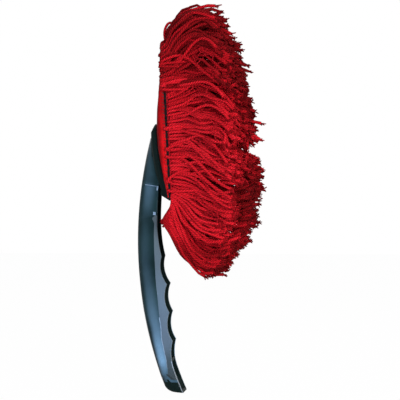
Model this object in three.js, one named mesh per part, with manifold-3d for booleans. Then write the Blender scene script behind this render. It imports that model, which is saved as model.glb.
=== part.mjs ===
// A hand duster: a mop cover of cotton yarn strands that slips onto a flat paddle, and a bowed,
// channel-shaped plastic handle with finger grooves. Millimetres, +Z up along the duster,
// +X the side of the yarn and of the finger grooves, +-Y across. The origin is the middle of
// the hand grip.
import * as THREE from 'three';
import { mergeVertices } from 'three/addons/utils/BufferGeometryUtils.js';
import Module from 'manifold-3d';

const wasm = await Module();
wasm.setup();

// ---------------------------------------------------------------- driving sizes

const CLEARANCE = 0.3; // left between pieces that lie against each other
const OVERRUN = 12; // how far a cutting shape runs past what it cuts

// The handle: a channel swept along the bow of its back. Places along it are arc lengths from
// the middle of the grip, up the back, and depths are measured from the back toward the front.
const BOW_RADIUS = 307.5;
const GRIP_TO_BACK = 10.2;
const GRIP_LEAN = THREE.MathUtils.degToRad(9.06);
const HANDLE_HALF_WIDTH = 12;
const HANDLE_WALL = 2;
const BACK_ROUNDING = 11; // depth of the rounded back, before the sides run straight
const HANDLE_END_Z = -71.2;
const END_BACK_CORNER = 6; // radius between the back and the end
const NECK_LENGTH = 94; // up the back, to where the channel's rims meet the flange
const NECK_DEPTH = 13;
const NECK_SAG = 16.4; // depth that the rim between grip and neck is drawn toward

// The finger grooves: crests one pitch apart, top to bottom, and a groove between each two.
const GROOVE_PITCH = 23.5;
const CREST_DEPTHS = [20.0, 22.4, 20.8, 18.1];
const GROOVE_DEPTH = 2.4;
const TAIL_DEPTH = 12.6; // the channel's depth at its lower end
const TAIL_LENGTH = 21; // from the last crest to where the tail has that depth

// The recess at the lower end, boxed in by a cross web, with a slot to hang the duster by.
const WEB_FROM_GRIP = -50;
const WEB_THICKNESS = 2;
const HANG_SLOT_WIDTH = 10;
const HANG_SLOT_HEIGHT = 8;

// The head's own frame stands on the foot of the paddle and leans back with it.
const FOOT_X = 14.1;
const FOOT_Z = 79.6;
const HEAD_LEAN = THREE.MathUtils.degToRad(2.7);

// The paddle, which fills the cover's pocket with some play, and the screws in its foot.
const PADDLE_THICKNESS = 2;
const POCKET_PLAY = 1; // between the paddle's sides and the binding
const POCKET_HEADROOM = 7; // and above its top
const FOOT_HALF_WIDTH = 14;
const PADDLE_FOOT_BOTTOM = -2;
const PADDLE_SHOULDER = 22; // height at which the paddle has its full width
const PADDLE_CORNER = 18;
const SCREW_HEIGHT = 2.6;
const SCREW_SPACING = 16;
const SCREW_SHANK_RADIUS = 1.2;
const SCREW_HEAD_RADIUS = 2.4;
const SCREW_HEAD_DEPTH = 1.2;
const SCREW_LENGTH = 6;

// The cover's panels, in order behind the paddle, and the backing in front of it.
const PAD_HALF_WIDTH = 25;
const PAD_TOP = 118;
const PAD_CORNER = 20;
const BACK_PANEL_BOTTOM = 7;
const LINING_THICKNESS = 0.4;
const CLOTH_THICKNESS = 0.6;
const BACKING_THICKNESS = 1.8;
const BACKING_BOTTOM = -8;
const BINDING_WIDTH = 3;
const BINDING_BOTTOM = -2;

// The dome of the cloth back, measured from the middle of the paddle's thickness.
const DOME_DEPTH = 9.6;
const DOME_PEAK = 50;
const DOME_TOP = 96; // where it has run out into the flat upper edge
const DOME_SHOULDER = 2.6; // exponent across the dome: more is squarer
const WADDING_EDGE = 6; // how far inside the dome's edge the wadding ends

// The flange: the handle's upper end, which lies along the dome.
const FLANGE_THICKNESS = 4;
const FLANGE_FOOT_THICKNESS = 5;
const FLANGE_HALF_WIDTH = 16;
const FLANGE_TOP = 58;
const FLANGE_CORNER = 10;
const FLANGE_LIP_TURN = THREE.MathUtils.degToRad(75); // how far round its upper edge is rounded
const FOOT_TOP = BACK_PANEL_BOTTOM - CLEARANCE;
const FOOT_SLANT = 4.5; // how far the foot's lower end rises toward the handle

// The yarn strands.
const ROWS_PER_NODE = 7;
const STRAND_NODES = ['strands_bottom', 'strands_lower', 'strands_upper', 'strands_top'];
const COLUMN_PITCH = 4.0;
const ROOT_EDGE = 2; // from a strand's axis to the backing's lower and side edges
const TOP_ROOT_EDGE = 2.5; // and to its top
const STRAND_RADIUS = 0.88;
const STRAND_SIDES = 3;
const STRAND_STEPS = 4;
const GOLDEN_ANGLE = Math.PI * (3 - Math.sqrt(5));
const CORNER_SEGMENTS = 6; // along each round corner of the backing

// The strands' flow in the side view: how far forward and how high each lies where it leaves
// the backing, where it bends and at its tip, at five places from the lowest row to the highest.
// Low strands fall below the head, middle ones stand straight out, and high ones arch over.
const LEAVE_FORWARD = [6, 21, 24, 21, 5];
const LEAVE_HEIGHT = [-28, 21, 60, 98, 138];
const BEND_FORWARD = [13, 40, 48, 43, 22];
const BEND_HEIGHT = [-62, -8, 54, 104, 158];
const TIP_FORWARD = [38, 60, 67, 63, 45];
const TIP_HEIGHT = [-56, -14, 40, 88, 137];
const TIP_SPREAD = 1.15; // how much wider the tips lie than the roots, at the head's middle
const END_SPREAD = 0.35; // and at its lower and upper end
const SPREAD_EASE = 1.3; // exponent along a strand: more spreads later
const SIDE_DRAW = 0.25; // how much less the outermost strands reach forward
const SIDE_DROOP = 6; // and how much lower they hang

// ---------------------------------------------------------------- solids and shapes

function toSolid(geometry) {
  const bare = geometry.clone();
  bare.deleteAttribute('normal');
  bare.deleteAttribute('uv');
  const merged = mergeVertices(bare, 1e-4);
  return new wasm.Manifold(new wasm.Mesh({
    numProp: 3,
    vertProperties: new Float32Array(merged.attributes.position.array),
    triVerts: new Uint32Array(merged.index.array),
  }));
}

function toGeometry(solid) {
  const mesh = solid.getMesh();
  const geometry = new THREE.BufferGeometry();
  geometry.setAttribute('position', new THREE.BufferAttribute(mesh.vertProperties, 3));
  geometry.setIndex(new THREE.BufferAttribute(mesh.triVerts, 1));
  geometry.computeVertexNormals();
  return geometry;
}

// An outline in (x, z), as wide as 2 * halfWidth across.
function sideExtrusion(points, halfWidth) {
  const geometry = new THREE.ExtrudeGeometry(new THREE.Shape(points), {
    depth: 2 * halfWidth,
    bevelEnabled: false,
  });
  geometry.applyMatrix4(new THREE.Matrix4().makeBasis(
    new THREE.Vector3(1, 0, 0),
    new THREE.Vector3(0, 0, 1),
    new THREE.Vector3(0, -1, 0),
  ));
  return geometry.translate(0, halfWidth, 0);
}

// An outline in (y, z), from one x to another.
function frontExtrusion(shape, fromX, toX, curveSegments = 8) {
  const geometry = new THREE.ExtrudeGeometry(shape, {
    depth: toX - fromX,
    bevelEnabled: false,
    curveSegments,
  });
  geometry.applyMatrix4(new THREE.Matrix4().makeBasis(
    new THREE.Vector3(0, 1, 0),
    new THREE.Vector3(0, 0, 1),
    new THREE.Vector3(1, 0, 0),
  ));
  return geometry.translate(fromX, 0, 0);
}

function box(lowX, highX, halfWidth, lowZ, highZ) {
  const geometry = new THREE.BoxGeometry(highX - lowX, 2 * halfWidth, highZ - lowZ);
  return geometry.translate((lowX + highX) / 2, 0, (lowZ + highZ) / 2);
}

const range = (count) => Array.from({ length: count }, (_, i) => i);

// The numbers from a to b in equal steps, both ends included.
const spaced = (a, b, steps) => range(steps + 1).map((i) => a + ((b - a) * i) / steps);

// ---------------------------------------------------------------- the two frames

const bowCentre = new THREE.Vector2(Math.cos(GRIP_LEAN), Math.sin(GRIP_LEAN))
  .multiplyScalar(BOW_RADIUS - GRIP_TO_BACK);
const bowRear = bowCentre.x - BOW_RADIUS;

// A point of the side view, from its arc length up the back and its depth from the back.
function bowPoint(along, depth) {
  const angle = along / BOW_RADIUS - GRIP_LEAN;
  return new THREE.Vector2(
    bowCentre.x - (BOW_RADIUS - depth) * Math.cos(angle),
    bowCentre.y + (BOW_RADIUS - depth) * Math.sin(angle),
  );
}

// The arc length up the back at which a depth from the back lies at a height.
function bowAlong(z, depth) {
  return (Math.asin((z - bowCentre.y) / (BOW_RADIUS - depth)) + GRIP_LEAN) * BOW_RADIUS;
}

const headFrame = new THREE.Group();
headFrame.position.set(FOOT_X, 0, FOOT_Z);
headFrame.rotation.y = -HEAD_LEAN;
headFrame.updateMatrix();
const intoHeadFrame = headFrame.matrix.clone().invert();

function headPoint(x, z) {
  const point = new THREE.Vector3(x, 0, z).applyMatrix4(headFrame.matrix);
  return new THREE.Vector2(point.x, point.z);
}

// A side view point's height in the head's own frame.
function headHeight(point) {
  return new THREE.Vector3(point.x, 0, point.y).applyMatrix4(intoHeadFrame).z;
}

// ---------------------------------------------------------------- the cover's layers

const paddleFace = PADDLE_THICKNESS / 2;
const liningInner = paddleFace + CLEARANCE;
const liningOuter = liningInner + LINING_THICKNESS;
const clothInnerEdge = liningOuter + CLEARANCE;
const clothOuterEdge = clothInnerEdge + CLOTH_THICKNESS;
const backingInner = paddleFace + CLEARANCE;
const backingFront = backingInner + BACKING_THICKNESS;
const paddleHalfWidth = PAD_HALF_WIDTH - BINDING_WIDTH - POCKET_PLAY;
const paddleTop = PAD_TOP - BINDING_WIDTH - POCKET_HEADROOM;

// How far the cloth stands behind the paddle's middle, along the middle of the head.
function domeAt(z) {
  const reach = z < DOME_PEAK ? DOME_PEAK - BACK_PANEL_BOTTOM : DOME_TOP - DOME_PEAK;
  const fall = Math.min(1, ((z - DOME_PEAK) / reach) ** 2);
  return clothOuterEdge + (DOME_DEPTH - clothOuterEdge) * (1 - fall);
}

// The same anywhere on the head, where y runs from -1 to 1 across it.
function clothSurface(y, z) {
  const rise = domeAt(z) - clothOuterEdge;
  return clothOuterEdge + rise * Math.sqrt(Math.max(0, 1 - Math.abs(y) ** DOME_SHOULDER));
}

// The panels' half width at a height: straight sides and two round upper corners.
function padHalfWidth(z) {
  const overCorner = z - (PAD_TOP - PAD_CORNER);
  if (overCorner <= 0) return PAD_HALF_WIDTH;
  const left = Math.max(0, PAD_CORNER ** 2 - overCorner ** 2);
  return PAD_HALF_WIDTH - PAD_CORNER + Math.sqrt(left);
}

// The panels' outline, drawn in by an inset, from a lower edge to an upper one.
function padShape(inset, bottom, top = PAD_TOP - inset) {
  const halfWidth = PAD_HALF_WIDTH - inset;
  const corner = PAD_CORNER - inset;
  const cornerZ = PAD_TOP - PAD_CORNER;
  const shape = new THREE.Shape();
  shape.moveTo(-halfWidth, bottom);
  shape.lineTo(halfWidth, bottom);
  if (top <= cornerZ) {
    shape.lineTo(halfWidth, top);
    shape.lineTo(-halfWidth, top);
    return shape;
  }
  shape.absarc(halfWidth - corner, cornerZ, corner, 0, Math.PI / 2, false);
  shape.absarc(corner - halfWidth, cornerZ, corner, Math.PI / 2, Math.PI, false);
  return shape;
}

// A panel as a box of many faces, closer together toward the sides, with its two skins pushed
// out to the depths behind the paddle that the functions give.
function crownedPanel({ bottom, top, inset, inner, outer, across, up }) {
  const geometry = new THREE.BoxGeometry(2, 2, 2, 1, across, up);
  const position = geometry.attributes.position;
  for (let i = 0; i < position.count; i += 1) {
    const y = Math.sin((position.getY(i) * Math.PI) / 2);
    const z = THREE.MathUtils.mapLinear(position.getZ(i), -1, 1, bottom, top);
    const halfWidth = padHalfWidth(z + inset) - inset;
    const acrossPad = (y * halfWidth) / padHalfWidth(z);
    const depth = position.getX(i) > 0 ? inner(acrossPad, z) : outer(acrossPad, z);
    position.setXYZ(i, -depth, y * halfWidth, z);
  }
  return geometry;
}

// ---------------------------------------------------------------- handle

class Bow extends THREE.Curve {
  constructor(from, to) {
    super();
    this.from = from;
    this.to = to;
  }

  getPoint(t, target = new THREE.Vector3()) {
    const point = bowPoint(THREE.MathUtils.lerp(this.from, this.to, t), 0);
    return target.set(point.x, 0, point.y);
  }
}

// The channel's section, filled: a rounded back and straight sides, drawn in by an inset.
function channelSection(inset, depth) {
  const halfWidth = HANDLE_HALF_WIDTH - inset;
  const section = new THREE.Shape();
  section.moveTo(halfWidth, depth);
  section.lineTo(halfWidth, BACK_ROUNDING);
  section.absellipse(0, BACK_ROUNDING, halfWidth, BACK_ROUNDING - inset, 0, Math.PI, true, 0);
  section.lineTo(-halfWidth, depth);
  return section;
}

// Swept from past the handle's end to where its back has run into the flange.
function sweptSection(section) {
  const from = bowAlong(HANDLE_END_Z, TAIL_DEPTH) - OVERRUN;
  const to = bowAlong(headPoint(0, FLANGE_TOP).y, 0);
  return toSolid(new THREE.ExtrudeGeometry(section, {
    extrudePath: new Bow(from, to),
    steps: 26,
    curveSegments: 12,
  }));
}

// The front rim's depth along the finger grooves, from the lowest crest to the highest.
function grooveRim() {
  const crests = CREST_DEPTHS.map((depth, i) => {
    const along = ((CREST_DEPTHS.length - 1) / 2 - i) * GROOVE_PITCH;
    return new THREE.Vector2(along, depth);
  }).reverse();
  const stepsPerGroove = 6;
  const rim = [crests[0]];
  for (let i = 1; i < crests.length; i += 1) {
    for (const t of spaced(0, 1, stepsPerGroove).slice(1)) {
      const point = crests[i - 1].clone().lerp(crests[i], t);
      point.y -= GROOVE_DEPTH * (1 - (2 * t - 1) ** 2);
      rim.push(point);
    }
  }
  return rim;
}

// The flange's two faces behind the paddle's middle, hugging the dome across as well as up.
// Above the dome's peak they run straight on, so that the cover can slide out past them.
function flangeInner(y, z) {
  return clothSurface(y / PAD_HALF_WIDTH, Math.min(z, DOME_PEAK)) + CLEARANCE;
}

function flangeOuter(y, z) {
  return flangeInner(y, z)
    + THREE.MathUtils.mapLinear(z, 0, FLANGE_TOP, FLANGE_FOOT_THICKNESS, FLANGE_THICKNESS);
}

// The side view of the whole channel, from its lower end up the front and down behind it.
function handleProfile() {
  const rim = grooveRim();
  const firstCrest = rim[0];
  const lastCrest = rim[rim.length - 1];
  const tailStart = new THREE.Vector2(firstCrest.x - TAIL_LENGTH, TAIL_DEPTH);
  const tailBend = new THREE.Vector2(firstCrest.x - TAIL_LENGTH / 2, TAIL_DEPTH);
  const tail = new THREE.QuadraticBezierCurve(tailStart, tailBend, firstCrest).getPoints(5);
  const neckBend = new THREE.Vector2(
    lastCrest.x + (NECK_LENGTH - lastCrest.x) / 3,
    NECK_SAG,
  );
  const neckEnd = new THREE.Vector2(NECK_LENGTH, NECK_DEPTH);
  const neck = new THREE.QuadraticBezierCurve(lastCrest, neckBend, neckEnd).getPoints(6);
  const front = [...tail.slice(0, -1), ...rim.slice(0, -1), ...neck];

  const tailTop = bowPoint(tailStart.x, TAIL_DEPTH);
  const tailLean = GRIP_LEAN - tailStart.x / BOW_RADIUS;
  const bottomZ = HANDLE_END_Z - OVERRUN;
  const tailBottom = new THREE.Vector2(
    tailTop.x + (tailTop.y - bottomZ) * Math.tan(tailLean),
    bottomZ,
  );
  const joinFrom = headHeight(bowPoint(neckEnd.x, neckEnd.y)) + HANDLE_WALL;
  const joinTo = FLANGE_TOP - FLANGE_THICKNESS;
  const flangeMiddle = spaced(joinFrom, joinTo, 8)
    .map((z) => headPoint(-(flangeInner(0, z) + flangeOuter(0, z)) / 2, z));
  const behind = headPoint(bowRear - FOOT_X - OVERRUN, joinTo);
  return [
    new THREE.Vector2(behind.x, bottomZ),
    tailBottom,
    ...front.map((point) => bowPoint(point.x, point.y)),
    ...flangeMiddle,
    behind,
  ];
}

// What the round corner between the back and the end takes away, in the side view.
function endCornerProfile() {
  const angle = (HANDLE_END_Z - bowCentre.y + END_BACK_CORNER) / (BOW_RADIUS - END_BACK_CORNER);
  const centreX = bowCentre.x - (BOW_RADIUS - END_BACK_CORNER) * Math.cos(Math.asin(angle));
  const centreZ = HANDLE_END_Z + END_BACK_CORNER;
  const arc = spaced(Math.asin(-angle), Math.PI / 2, 6).map((turn) => new THREE.Vector2(
    centreX - END_BACK_CORNER * Math.cos(turn),
    centreZ - END_BACK_CORNER * Math.sin(turn),
  ));
  const outside = new THREE.Vector2(arc[0].x - END_BACK_CORNER, arc[0].y);
  return [
    ...arc,
    new THREE.Vector2(centreX, HANDLE_END_Z - END_BACK_CORNER),
    new THREE.Vector2(outside.x, HANDLE_END_Z - END_BACK_CORNER),
    outside,
  ];
}

function flangeSolid() {
  const lip = FLANGE_THICKNESS / 2;
  const rows = [
    ...spaced(0, FLANGE_TOP - lip, 13).map((z) => ({ z, share: 1 })),
    ...spaced(0, FLANGE_LIP_TURN, 4).slice(1).map((turn) => ({
      z: FLANGE_TOP - lip + lip * Math.sin(turn),
      share: Math.cos(turn),
    })),
  ];
  const lastRow = rows.length - 1;
  const geometry = new THREE.BoxGeometry(2, 2, 2, 1, 8, lastRow);
  const position = geometry.attributes.position;
  for (let i = 0; i < position.count; i += 1) {
    const y = position.getY(i) * FLANGE_HALF_WIDTH;
    const { z, share } = rows[Math.round(((position.getZ(i) + 1) / 2) * lastRow)];
    const middle = (flangeInner(y, z) + flangeOuter(y, z)) / 2;
    const half = (share * (flangeOuter(y, z) - flangeInner(y, z))) / 2;
    position.setXYZ(i, -middle + Math.sign(position.getX(i)) * half, y, z);
  }
  const plate = toSolid(geometry);
  const tongue = new THREE.Shape();
  const cornerY = FLANGE_HALF_WIDTH - FLANGE_CORNER;
  tongue.moveTo(-FOOT_HALF_WIDTH, -FOOT_TOP);
  tongue.lineTo(FOOT_HALF_WIDTH, -FOOT_TOP);
  tongue.lineTo(FLANGE_HALF_WIDTH, PADDLE_SHOULDER);
  tongue.absarc(cornerY, FLANGE_TOP - FLANGE_CORNER, FLANGE_CORNER, 0, Math.PI / 2, false);
  tongue.absarc(-cornerY, FLANGE_TOP - FLANGE_CORNER, FLANGE_CORNER, Math.PI / 2, Math.PI, false);
  tongue.lineTo(-FLANGE_HALF_WIDTH, PADDLE_SHOULDER);
  const rear = -flangeOuter(0, FLANGE_TOP) - OVERRUN;
  return plate.intersect(toSolid(frontExtrusion(tongue, rear, paddleFace)));
}

// The foot joins the flange's lower end to the paddle, and its underside slants.
function footSolid() {
  const back = flangeOuter(0, 0);
  return toSolid(sideExtrusion([
    new THREE.Vector2(-liningInner, PADDLE_FOOT_BOTTOM),
    new THREE.Vector2(-liningInner, FOOT_TOP),
    new THREE.Vector2(-flangeInner(0, FOOT_TOP) - FLANGE_FOOT_THICKNESS / 2, FOOT_TOP),
    new THREE.Vector2(-back, FOOT_TOP),
    new THREE.Vector2(-back, PADDLE_FOOT_BOTTOM + FOOT_SLANT),
  ], FOOT_HALF_WIDTH));
}

const screwCentres = [SCREW_SPACING / 2, -SCREW_SPACING / 2];

// A countersunk screw along x, its flat head flush with the paddle's front face. A margin of
// zero gives the screw, and a clearance gives the hole it goes into.
function screwGeometry(y, margin) {
  const front = margin > 0 ? OVERRUN : 0;
  const profile = [
    new THREE.Vector2(0, -SCREW_LENGTH - margin),
    new THREE.Vector2(SCREW_SHANK_RADIUS + margin, -SCREW_LENGTH - margin),
    new THREE.Vector2(SCREW_SHANK_RADIUS + margin, -SCREW_HEAD_DEPTH - margin),
    new THREE.Vector2(SCREW_HEAD_RADIUS + margin, -margin),
    new THREE.Vector2(SCREW_HEAD_RADIUS + margin, front),
    new THREE.Vector2(0, front),
  ].filter((point, i, all) => i === 0 || !point.equals(all[i - 1]));
  return new THREE.LatheGeometry(profile, 16)
    .rotateZ(-Math.PI / 2)
    .translate(paddleFace, y, SCREW_HEIGHT);
}

function handleGeometry() {
  const deep = Math.max(...CREST_DEPTHS) + OVERRUN;
  const wide = HANDLE_HALF_WIDTH + OVERRUN;
  const below = (z) => toSolid(box(bowRear, 2 * deep, wide, HANDLE_END_Z - 2 * OVERRUN, z));
  const endFloorZ = HANDLE_END_Z + HANDLE_WALL;
  const webLower = WEB_FROM_GRIP - WEB_THICKNESS / 2;
  const webUpper = WEB_FROM_GRIP + WEB_THICKNESS / 2;
  const web = toSolid(sideExtrusion([
    bowPoint(webLower, -OVERRUN),
    bowPoint(webLower, deep),
    bowPoint(webUpper, deep),
    bowPoint(webUpper, -OVERRUN),
  ], HANDLE_HALF_WIDTH));
  const cavity = sweptSection(channelSection(HANDLE_WALL, deep))
    .subtract(web)
    .subtract(below(endFloorZ));
  const channel = sweptSection(channelSection(0, deep))
    .intersect(toSolid(sideExtrusion(handleProfile(), wide)))
    .subtract(below(HANDLE_END_Z))
    .subtract(toSolid(sideExtrusion(endCornerProfile(), wide)))
    .subtract(cavity);
  const slotBack = bowPoint(WEB_FROM_GRIP, 0).x;
  const slot = toSolid(box(slotBack - OVERRUN, slotBack + TAIL_DEPTH, HANG_SLOT_WIDTH / 2,
    endFloorZ, endFloorZ + HANG_SLOT_HEIGHT));
  const screwHoles = screwCentres.map((y) => toSolid(screwGeometry(y, CLEARANCE)));
  const head = flangeSolid().add(footSolid()).subtract(screwHoles[0]).subtract(screwHoles[1]);
  const headInPlace = toSolid(toGeometry(head).applyMatrix4(headFrame.matrix));
  return toGeometry(channel.subtract(slot).add(headInPlace));
}

// ---------------------------------------------------------------- paddle and cover

function paddleGeometry() {
  const shape = new THREE.Shape();
  const cornerY = paddleHalfWidth - PADDLE_CORNER;
  const cornerZ = paddleTop - PADDLE_CORNER;
  shape.moveTo(-FOOT_HALF_WIDTH, PADDLE_FOOT_BOTTOM);
  shape.lineTo(FOOT_HALF_WIDTH, PADDLE_FOOT_BOTTOM);
  shape.lineTo(paddleHalfWidth, PADDLE_SHOULDER);
  shape.absarc(cornerY, cornerZ, PADDLE_CORNER, 0, Math.PI / 2, false);
  shape.absarc(-cornerY, cornerZ, PADDLE_CORNER, Math.PI / 2, Math.PI, false);
  shape.lineTo(-paddleHalfWidth, PADDLE_SHOULDER);
  const blank = toSolid(frontExtrusion(shape, -paddleFace, paddleFace));
  const holes = screwCentres.map((y) => toSolid(screwGeometry(y, CLEARANCE)));
  return toGeometry(blank.subtract(holes[0]).subtract(holes[1]));
}

function bindingGeometry() {
  const band = padShape(0, BINDING_BOTTOM);
  const opening = padShape(BINDING_WIDTH, BINDING_BOTTOM - BINDING_WIDTH);
  const strip = toSolid(frontExtrusion(band, -paddleFace, paddleFace));
  const inside = toSolid(frontExtrusion(opening, -OVERRUN, OVERRUN));
  return toGeometry(strip.subtract(inside));
}

function liningGeometry() {
  return frontExtrusion(padShape(0, BACK_PANEL_BOTTOM), -liningOuter, -liningInner);
}

function clothGeometry() {
  return crownedPanel({
    bottom: BACK_PANEL_BOTTOM,
    top: PAD_TOP,
    inset: 0,
    inner: (y, z) => clothSurface(y, z) - CLOTH_THICKNESS,
    outer: clothSurface,
    across: 8,
    up: 12,
  });
}

function waddingGeometry() {
  return crownedPanel({
    bottom: BACK_PANEL_BOTTOM + WADDING_EDGE,
    top: DOME_TOP - WADDING_EDGE,
    inset: WADDING_EDGE,
    inner: () => liningOuter + CLEARANCE,
    outer: (y, z) => clothSurface(y, z) - CLOTH_THICKNESS - CLEARANCE,
    across: 6,
    up: 7,
  });
}

// ---------------------------------------------------------------- yarn strands

// A line that glides through the places given by how far forward and how high each lies.
function flowLine(forward, heights) {
  return new THREE.SplineCurve(forward.map((x, i) => new THREE.Vector2(x, heights[i])));
}

const leaveLine = flowLine(LEAVE_FORWARD, LEAVE_HEIGHT);
const bendLine = flowLine(BEND_FORWARD, BEND_HEIGHT);
const tipLine = flowLine(TIP_FORWARD, TIP_HEIGHT);
const rowCount = ROWS_PER_NODE * STRAND_NODES.length;
const lowestRow = BACKING_BOTTOM + ROOT_EDGE;
const highestRow = PAD_TOP - TOP_ROOT_EDGE;
const rowPitch = (highestRow - lowestRow) / (rowCount - 1);
const rowHeight = (row) => lowestRow + row * rowPitch;

// A point of a strand's axis, from its root's place and how far along the strand it is.
function strandPoint(rootY, rootZ, t) {
  const w = (rootZ - lowestRow) / (highestRow - lowestRow);
  const root = new THREE.Vector2(backingFront, rootZ);
  const controls = [leaveLine, bendLine, tipLine].map((line) => line.getPoint(w));
  const path = new THREE.CubicBezierCurve(root, ...controls).getPoint(t);
  const side = rootY / PAD_HALF_WIDTH;
  const spread = THREE.MathUtils.lerp(TIP_SPREAD, END_SPREAD, (2 * w - 1) ** 2);
  return new THREE.Vector3(
    backingFront + (path.x - backingFront) * (1 - SIDE_DRAW * side ** 2),
    rootY * (1 + spread * t ** SPREAD_EASE),
    path.y - SIDE_DROOP * side ** 2 * t ** 2,
  );
}

// One strand: the ring of its root in the backing's front face, the rings along its axis, and
// the pointed tip. Each strand is rolled about its axis by a different angle.
function strandRings(rootY, rootZ) {
  const roll = (rootZ * PAD_HALF_WIDTH + rootY) * GOLDEN_ANGLE;
  const axis = spaced(0, 1, STRAND_STEPS).map((t) => strandPoint(rootY, rootZ, t));
  const across = new THREE.Vector3(0, 1, 0);
  const rings = axis.slice(0, -1).map((centre, i) => {
    const ahead = i === 0
      ? new THREE.Vector3(1, 0, 0)
      : axis[i + 1].clone().sub(axis[i - 1]).normalize();
    const up = new THREE.Vector3().crossVectors(ahead, across).normalize();
    const side = new THREE.Vector3().crossVectors(ahead, up).normalize();
    return range(STRAND_SIDES).map((k) => {
      const turn = roll + (2 * Math.PI * k) / STRAND_SIDES;
      return centre.clone()
        .addScaledVector(up, STRAND_RADIUS * Math.cos(turn))
        .addScaledVector(side, STRAND_RADIUS * Math.sin(turn));
    });
  });
  return { rings, tip: axis[axis.length - 1] };
}

function strandSides({ rings, tip }) {
  const corners = [];
  const at = (ring, k) => rings[ring][k % STRAND_SIDES];
  for (const k of range(STRAND_SIDES)) {
    for (const ring of range(rings.length - 1)) {
      corners.push(at(ring, k), at(ring, k + 1), at(ring + 1, k));
      corners.push(at(ring, k + 1), at(ring + 1, k + 1), at(ring + 1, k));
    }
    corners.push(at(rings.length - 1, k), at(rings.length - 1, k + 1), tip);
  }
  return corners;
}

// The roots of one row, evenly spaced across the backing and staggered from row to row.
function rowRoots(row) {
  const z = rowHeight(row);
  const usable = padHalfWidth(z) - ROOT_EDGE;
  const gaps = Math.floor((2 * usable) / COLUMN_PITCH) - ((row + 1) % 2);
  return spaced(-gaps / 2, gaps / 2, gaps).map((step) => [step * COLUMN_PITCH, z]);
}

// The corners of a flat face in (y, z) at one x, facing forward.
function faceCorners(shape, x) {
  const face = new THREE.ShapeGeometry(shape, CORNER_SEGMENTS).toNonIndexed();
  const position = face.attributes.position;
  return range(position.count).map((i) => {
    return new THREE.Vector3(x, position.getX(i), position.getY(i));
  });
}

// The backing's rim, between its two faces.
function rimCorners(shape) {
  const points = shape.extractPoints(CORNER_SEGMENTS).shape;
  return points.flatMap((point, i) => {
    const next = points[(i + 1) % points.length];
    const low = new THREE.Vector3(backingInner, point.x, point.y);
    const lowNext = new THREE.Vector3(backingInner, next.x, next.y);
    const high = low.clone().setX(backingFront);
    const highNext = lowNext.clone().setX(backingFront);
    return [low, lowNext, highNext, low, highNext, high];
  });
}

// A group of rows, fused to its slice of the backing: the front face is open at each root,
// where a strand's sides carry on from it.
function strandsGeometry(group) {
  const firstRow = group * ROWS_PER_NODE;
  const edge = (row) => rowHeight(row) - rowPitch / 2;
  const isLowest = group === 0;
  const isHighest = group === STRAND_NODES.length - 1;
  const bottom = isLowest ? BACKING_BOTTOM : edge(firstRow) + CLEARANCE / 2;
  const top = isHighest ? PAD_TOP : edge(firstRow + ROWS_PER_NODE) - CLEARANCE / 2;
  const roots = range(ROWS_PER_NODE).flatMap((i) => rowRoots(firstRow + i));
  const strands = roots.map(([y, z]) => strandRings(y, z));
  const slice = padShape(0, bottom, top);
  const back = faceCorners(slice, backingInner).reverse();
  const rim = rimCorners(slice);
  slice.holes = strands.map(({ rings }) => {
    return new THREE.Path(rings[0].map((point) => new THREE.Vector2(point.y, point.z)));
  });
  const front = faceCorners(slice, backingFront);
  const corners = [...back, ...rim, ...front, ...strands.flatMap(strandSides)];
  return mergeVertices(new THREE.BufferGeometry().setFromPoints(corners), 1e-4);
}

// ---------------------------------------------------------------- the assembly

const finishes = {
  plastic: { color: 0x2a3238, roughness: 0.38, metalness: 0 },
  steel: { color: 0x9a9da0, roughness: 0.35, metalness: 0.9 },
  redCloth: { color: 0xb8141c, roughness: 0.85, metalness: 0 },
  wadding: { color: 0xe8e2d6, roughness: 0.95, metalness: 0 },
  tape: { color: 0x14181a, roughness: 0.8, metalness: 0 },
  yarn: { color: 0xb51422, roughness: 0.95, metalness: 0 },
};

function piece(name, geometry, finish) {
  const mesh = new THREE.Mesh(geometry, new THREE.MeshStandardMaterial(finish));
  mesh.name = name;
  return mesh;
}

const duster = new THREE.Group();
duster.add(piece('handle', handleGeometry(), finishes.plastic));
headFrame.add(piece('paddle', paddleGeometry(), finishes.plastic));
screwCentres.forEach((y, i) => {
  headFrame.add(piece(`paddle_screw_${i + 1}`, screwGeometry(y, 0), finishes.steel));
});
headFrame.add(piece('pocket_lining', liningGeometry(), finishes.redCloth));
headFrame.add(piece('back_padding', waddingGeometry(), finishes.wadding));
headFrame.add(piece('back_cloth', clothGeometry(), finishes.redCloth));
headFrame.add(piece('edge_binding', bindingGeometry(), finishes.tape));
STRAND_NODES.forEach((name, group) => {
  headFrame.add(piece(name, strandsGeometry(group), finishes.yarn));
});
duster.add(headFrame);

export default duster;
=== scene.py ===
"""A hand duster: cotton yarn strands on a padded slip-on cover, and a bowed plastic handle."""
import math
import random

import bpy
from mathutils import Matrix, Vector, noise


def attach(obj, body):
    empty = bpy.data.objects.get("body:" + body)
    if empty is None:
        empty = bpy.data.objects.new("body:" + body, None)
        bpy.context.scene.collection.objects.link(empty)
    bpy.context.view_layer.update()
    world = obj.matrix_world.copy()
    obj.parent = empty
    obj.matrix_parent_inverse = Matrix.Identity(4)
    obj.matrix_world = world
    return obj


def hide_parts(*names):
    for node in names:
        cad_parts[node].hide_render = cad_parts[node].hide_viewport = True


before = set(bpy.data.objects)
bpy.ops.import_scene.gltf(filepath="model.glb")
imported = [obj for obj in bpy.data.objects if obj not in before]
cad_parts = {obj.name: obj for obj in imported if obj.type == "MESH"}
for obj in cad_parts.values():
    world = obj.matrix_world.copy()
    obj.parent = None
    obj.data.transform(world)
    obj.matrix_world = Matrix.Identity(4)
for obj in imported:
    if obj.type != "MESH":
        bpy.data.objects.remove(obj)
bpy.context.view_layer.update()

bpy.ops.object.select_all(action="DESELECT")

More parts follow.
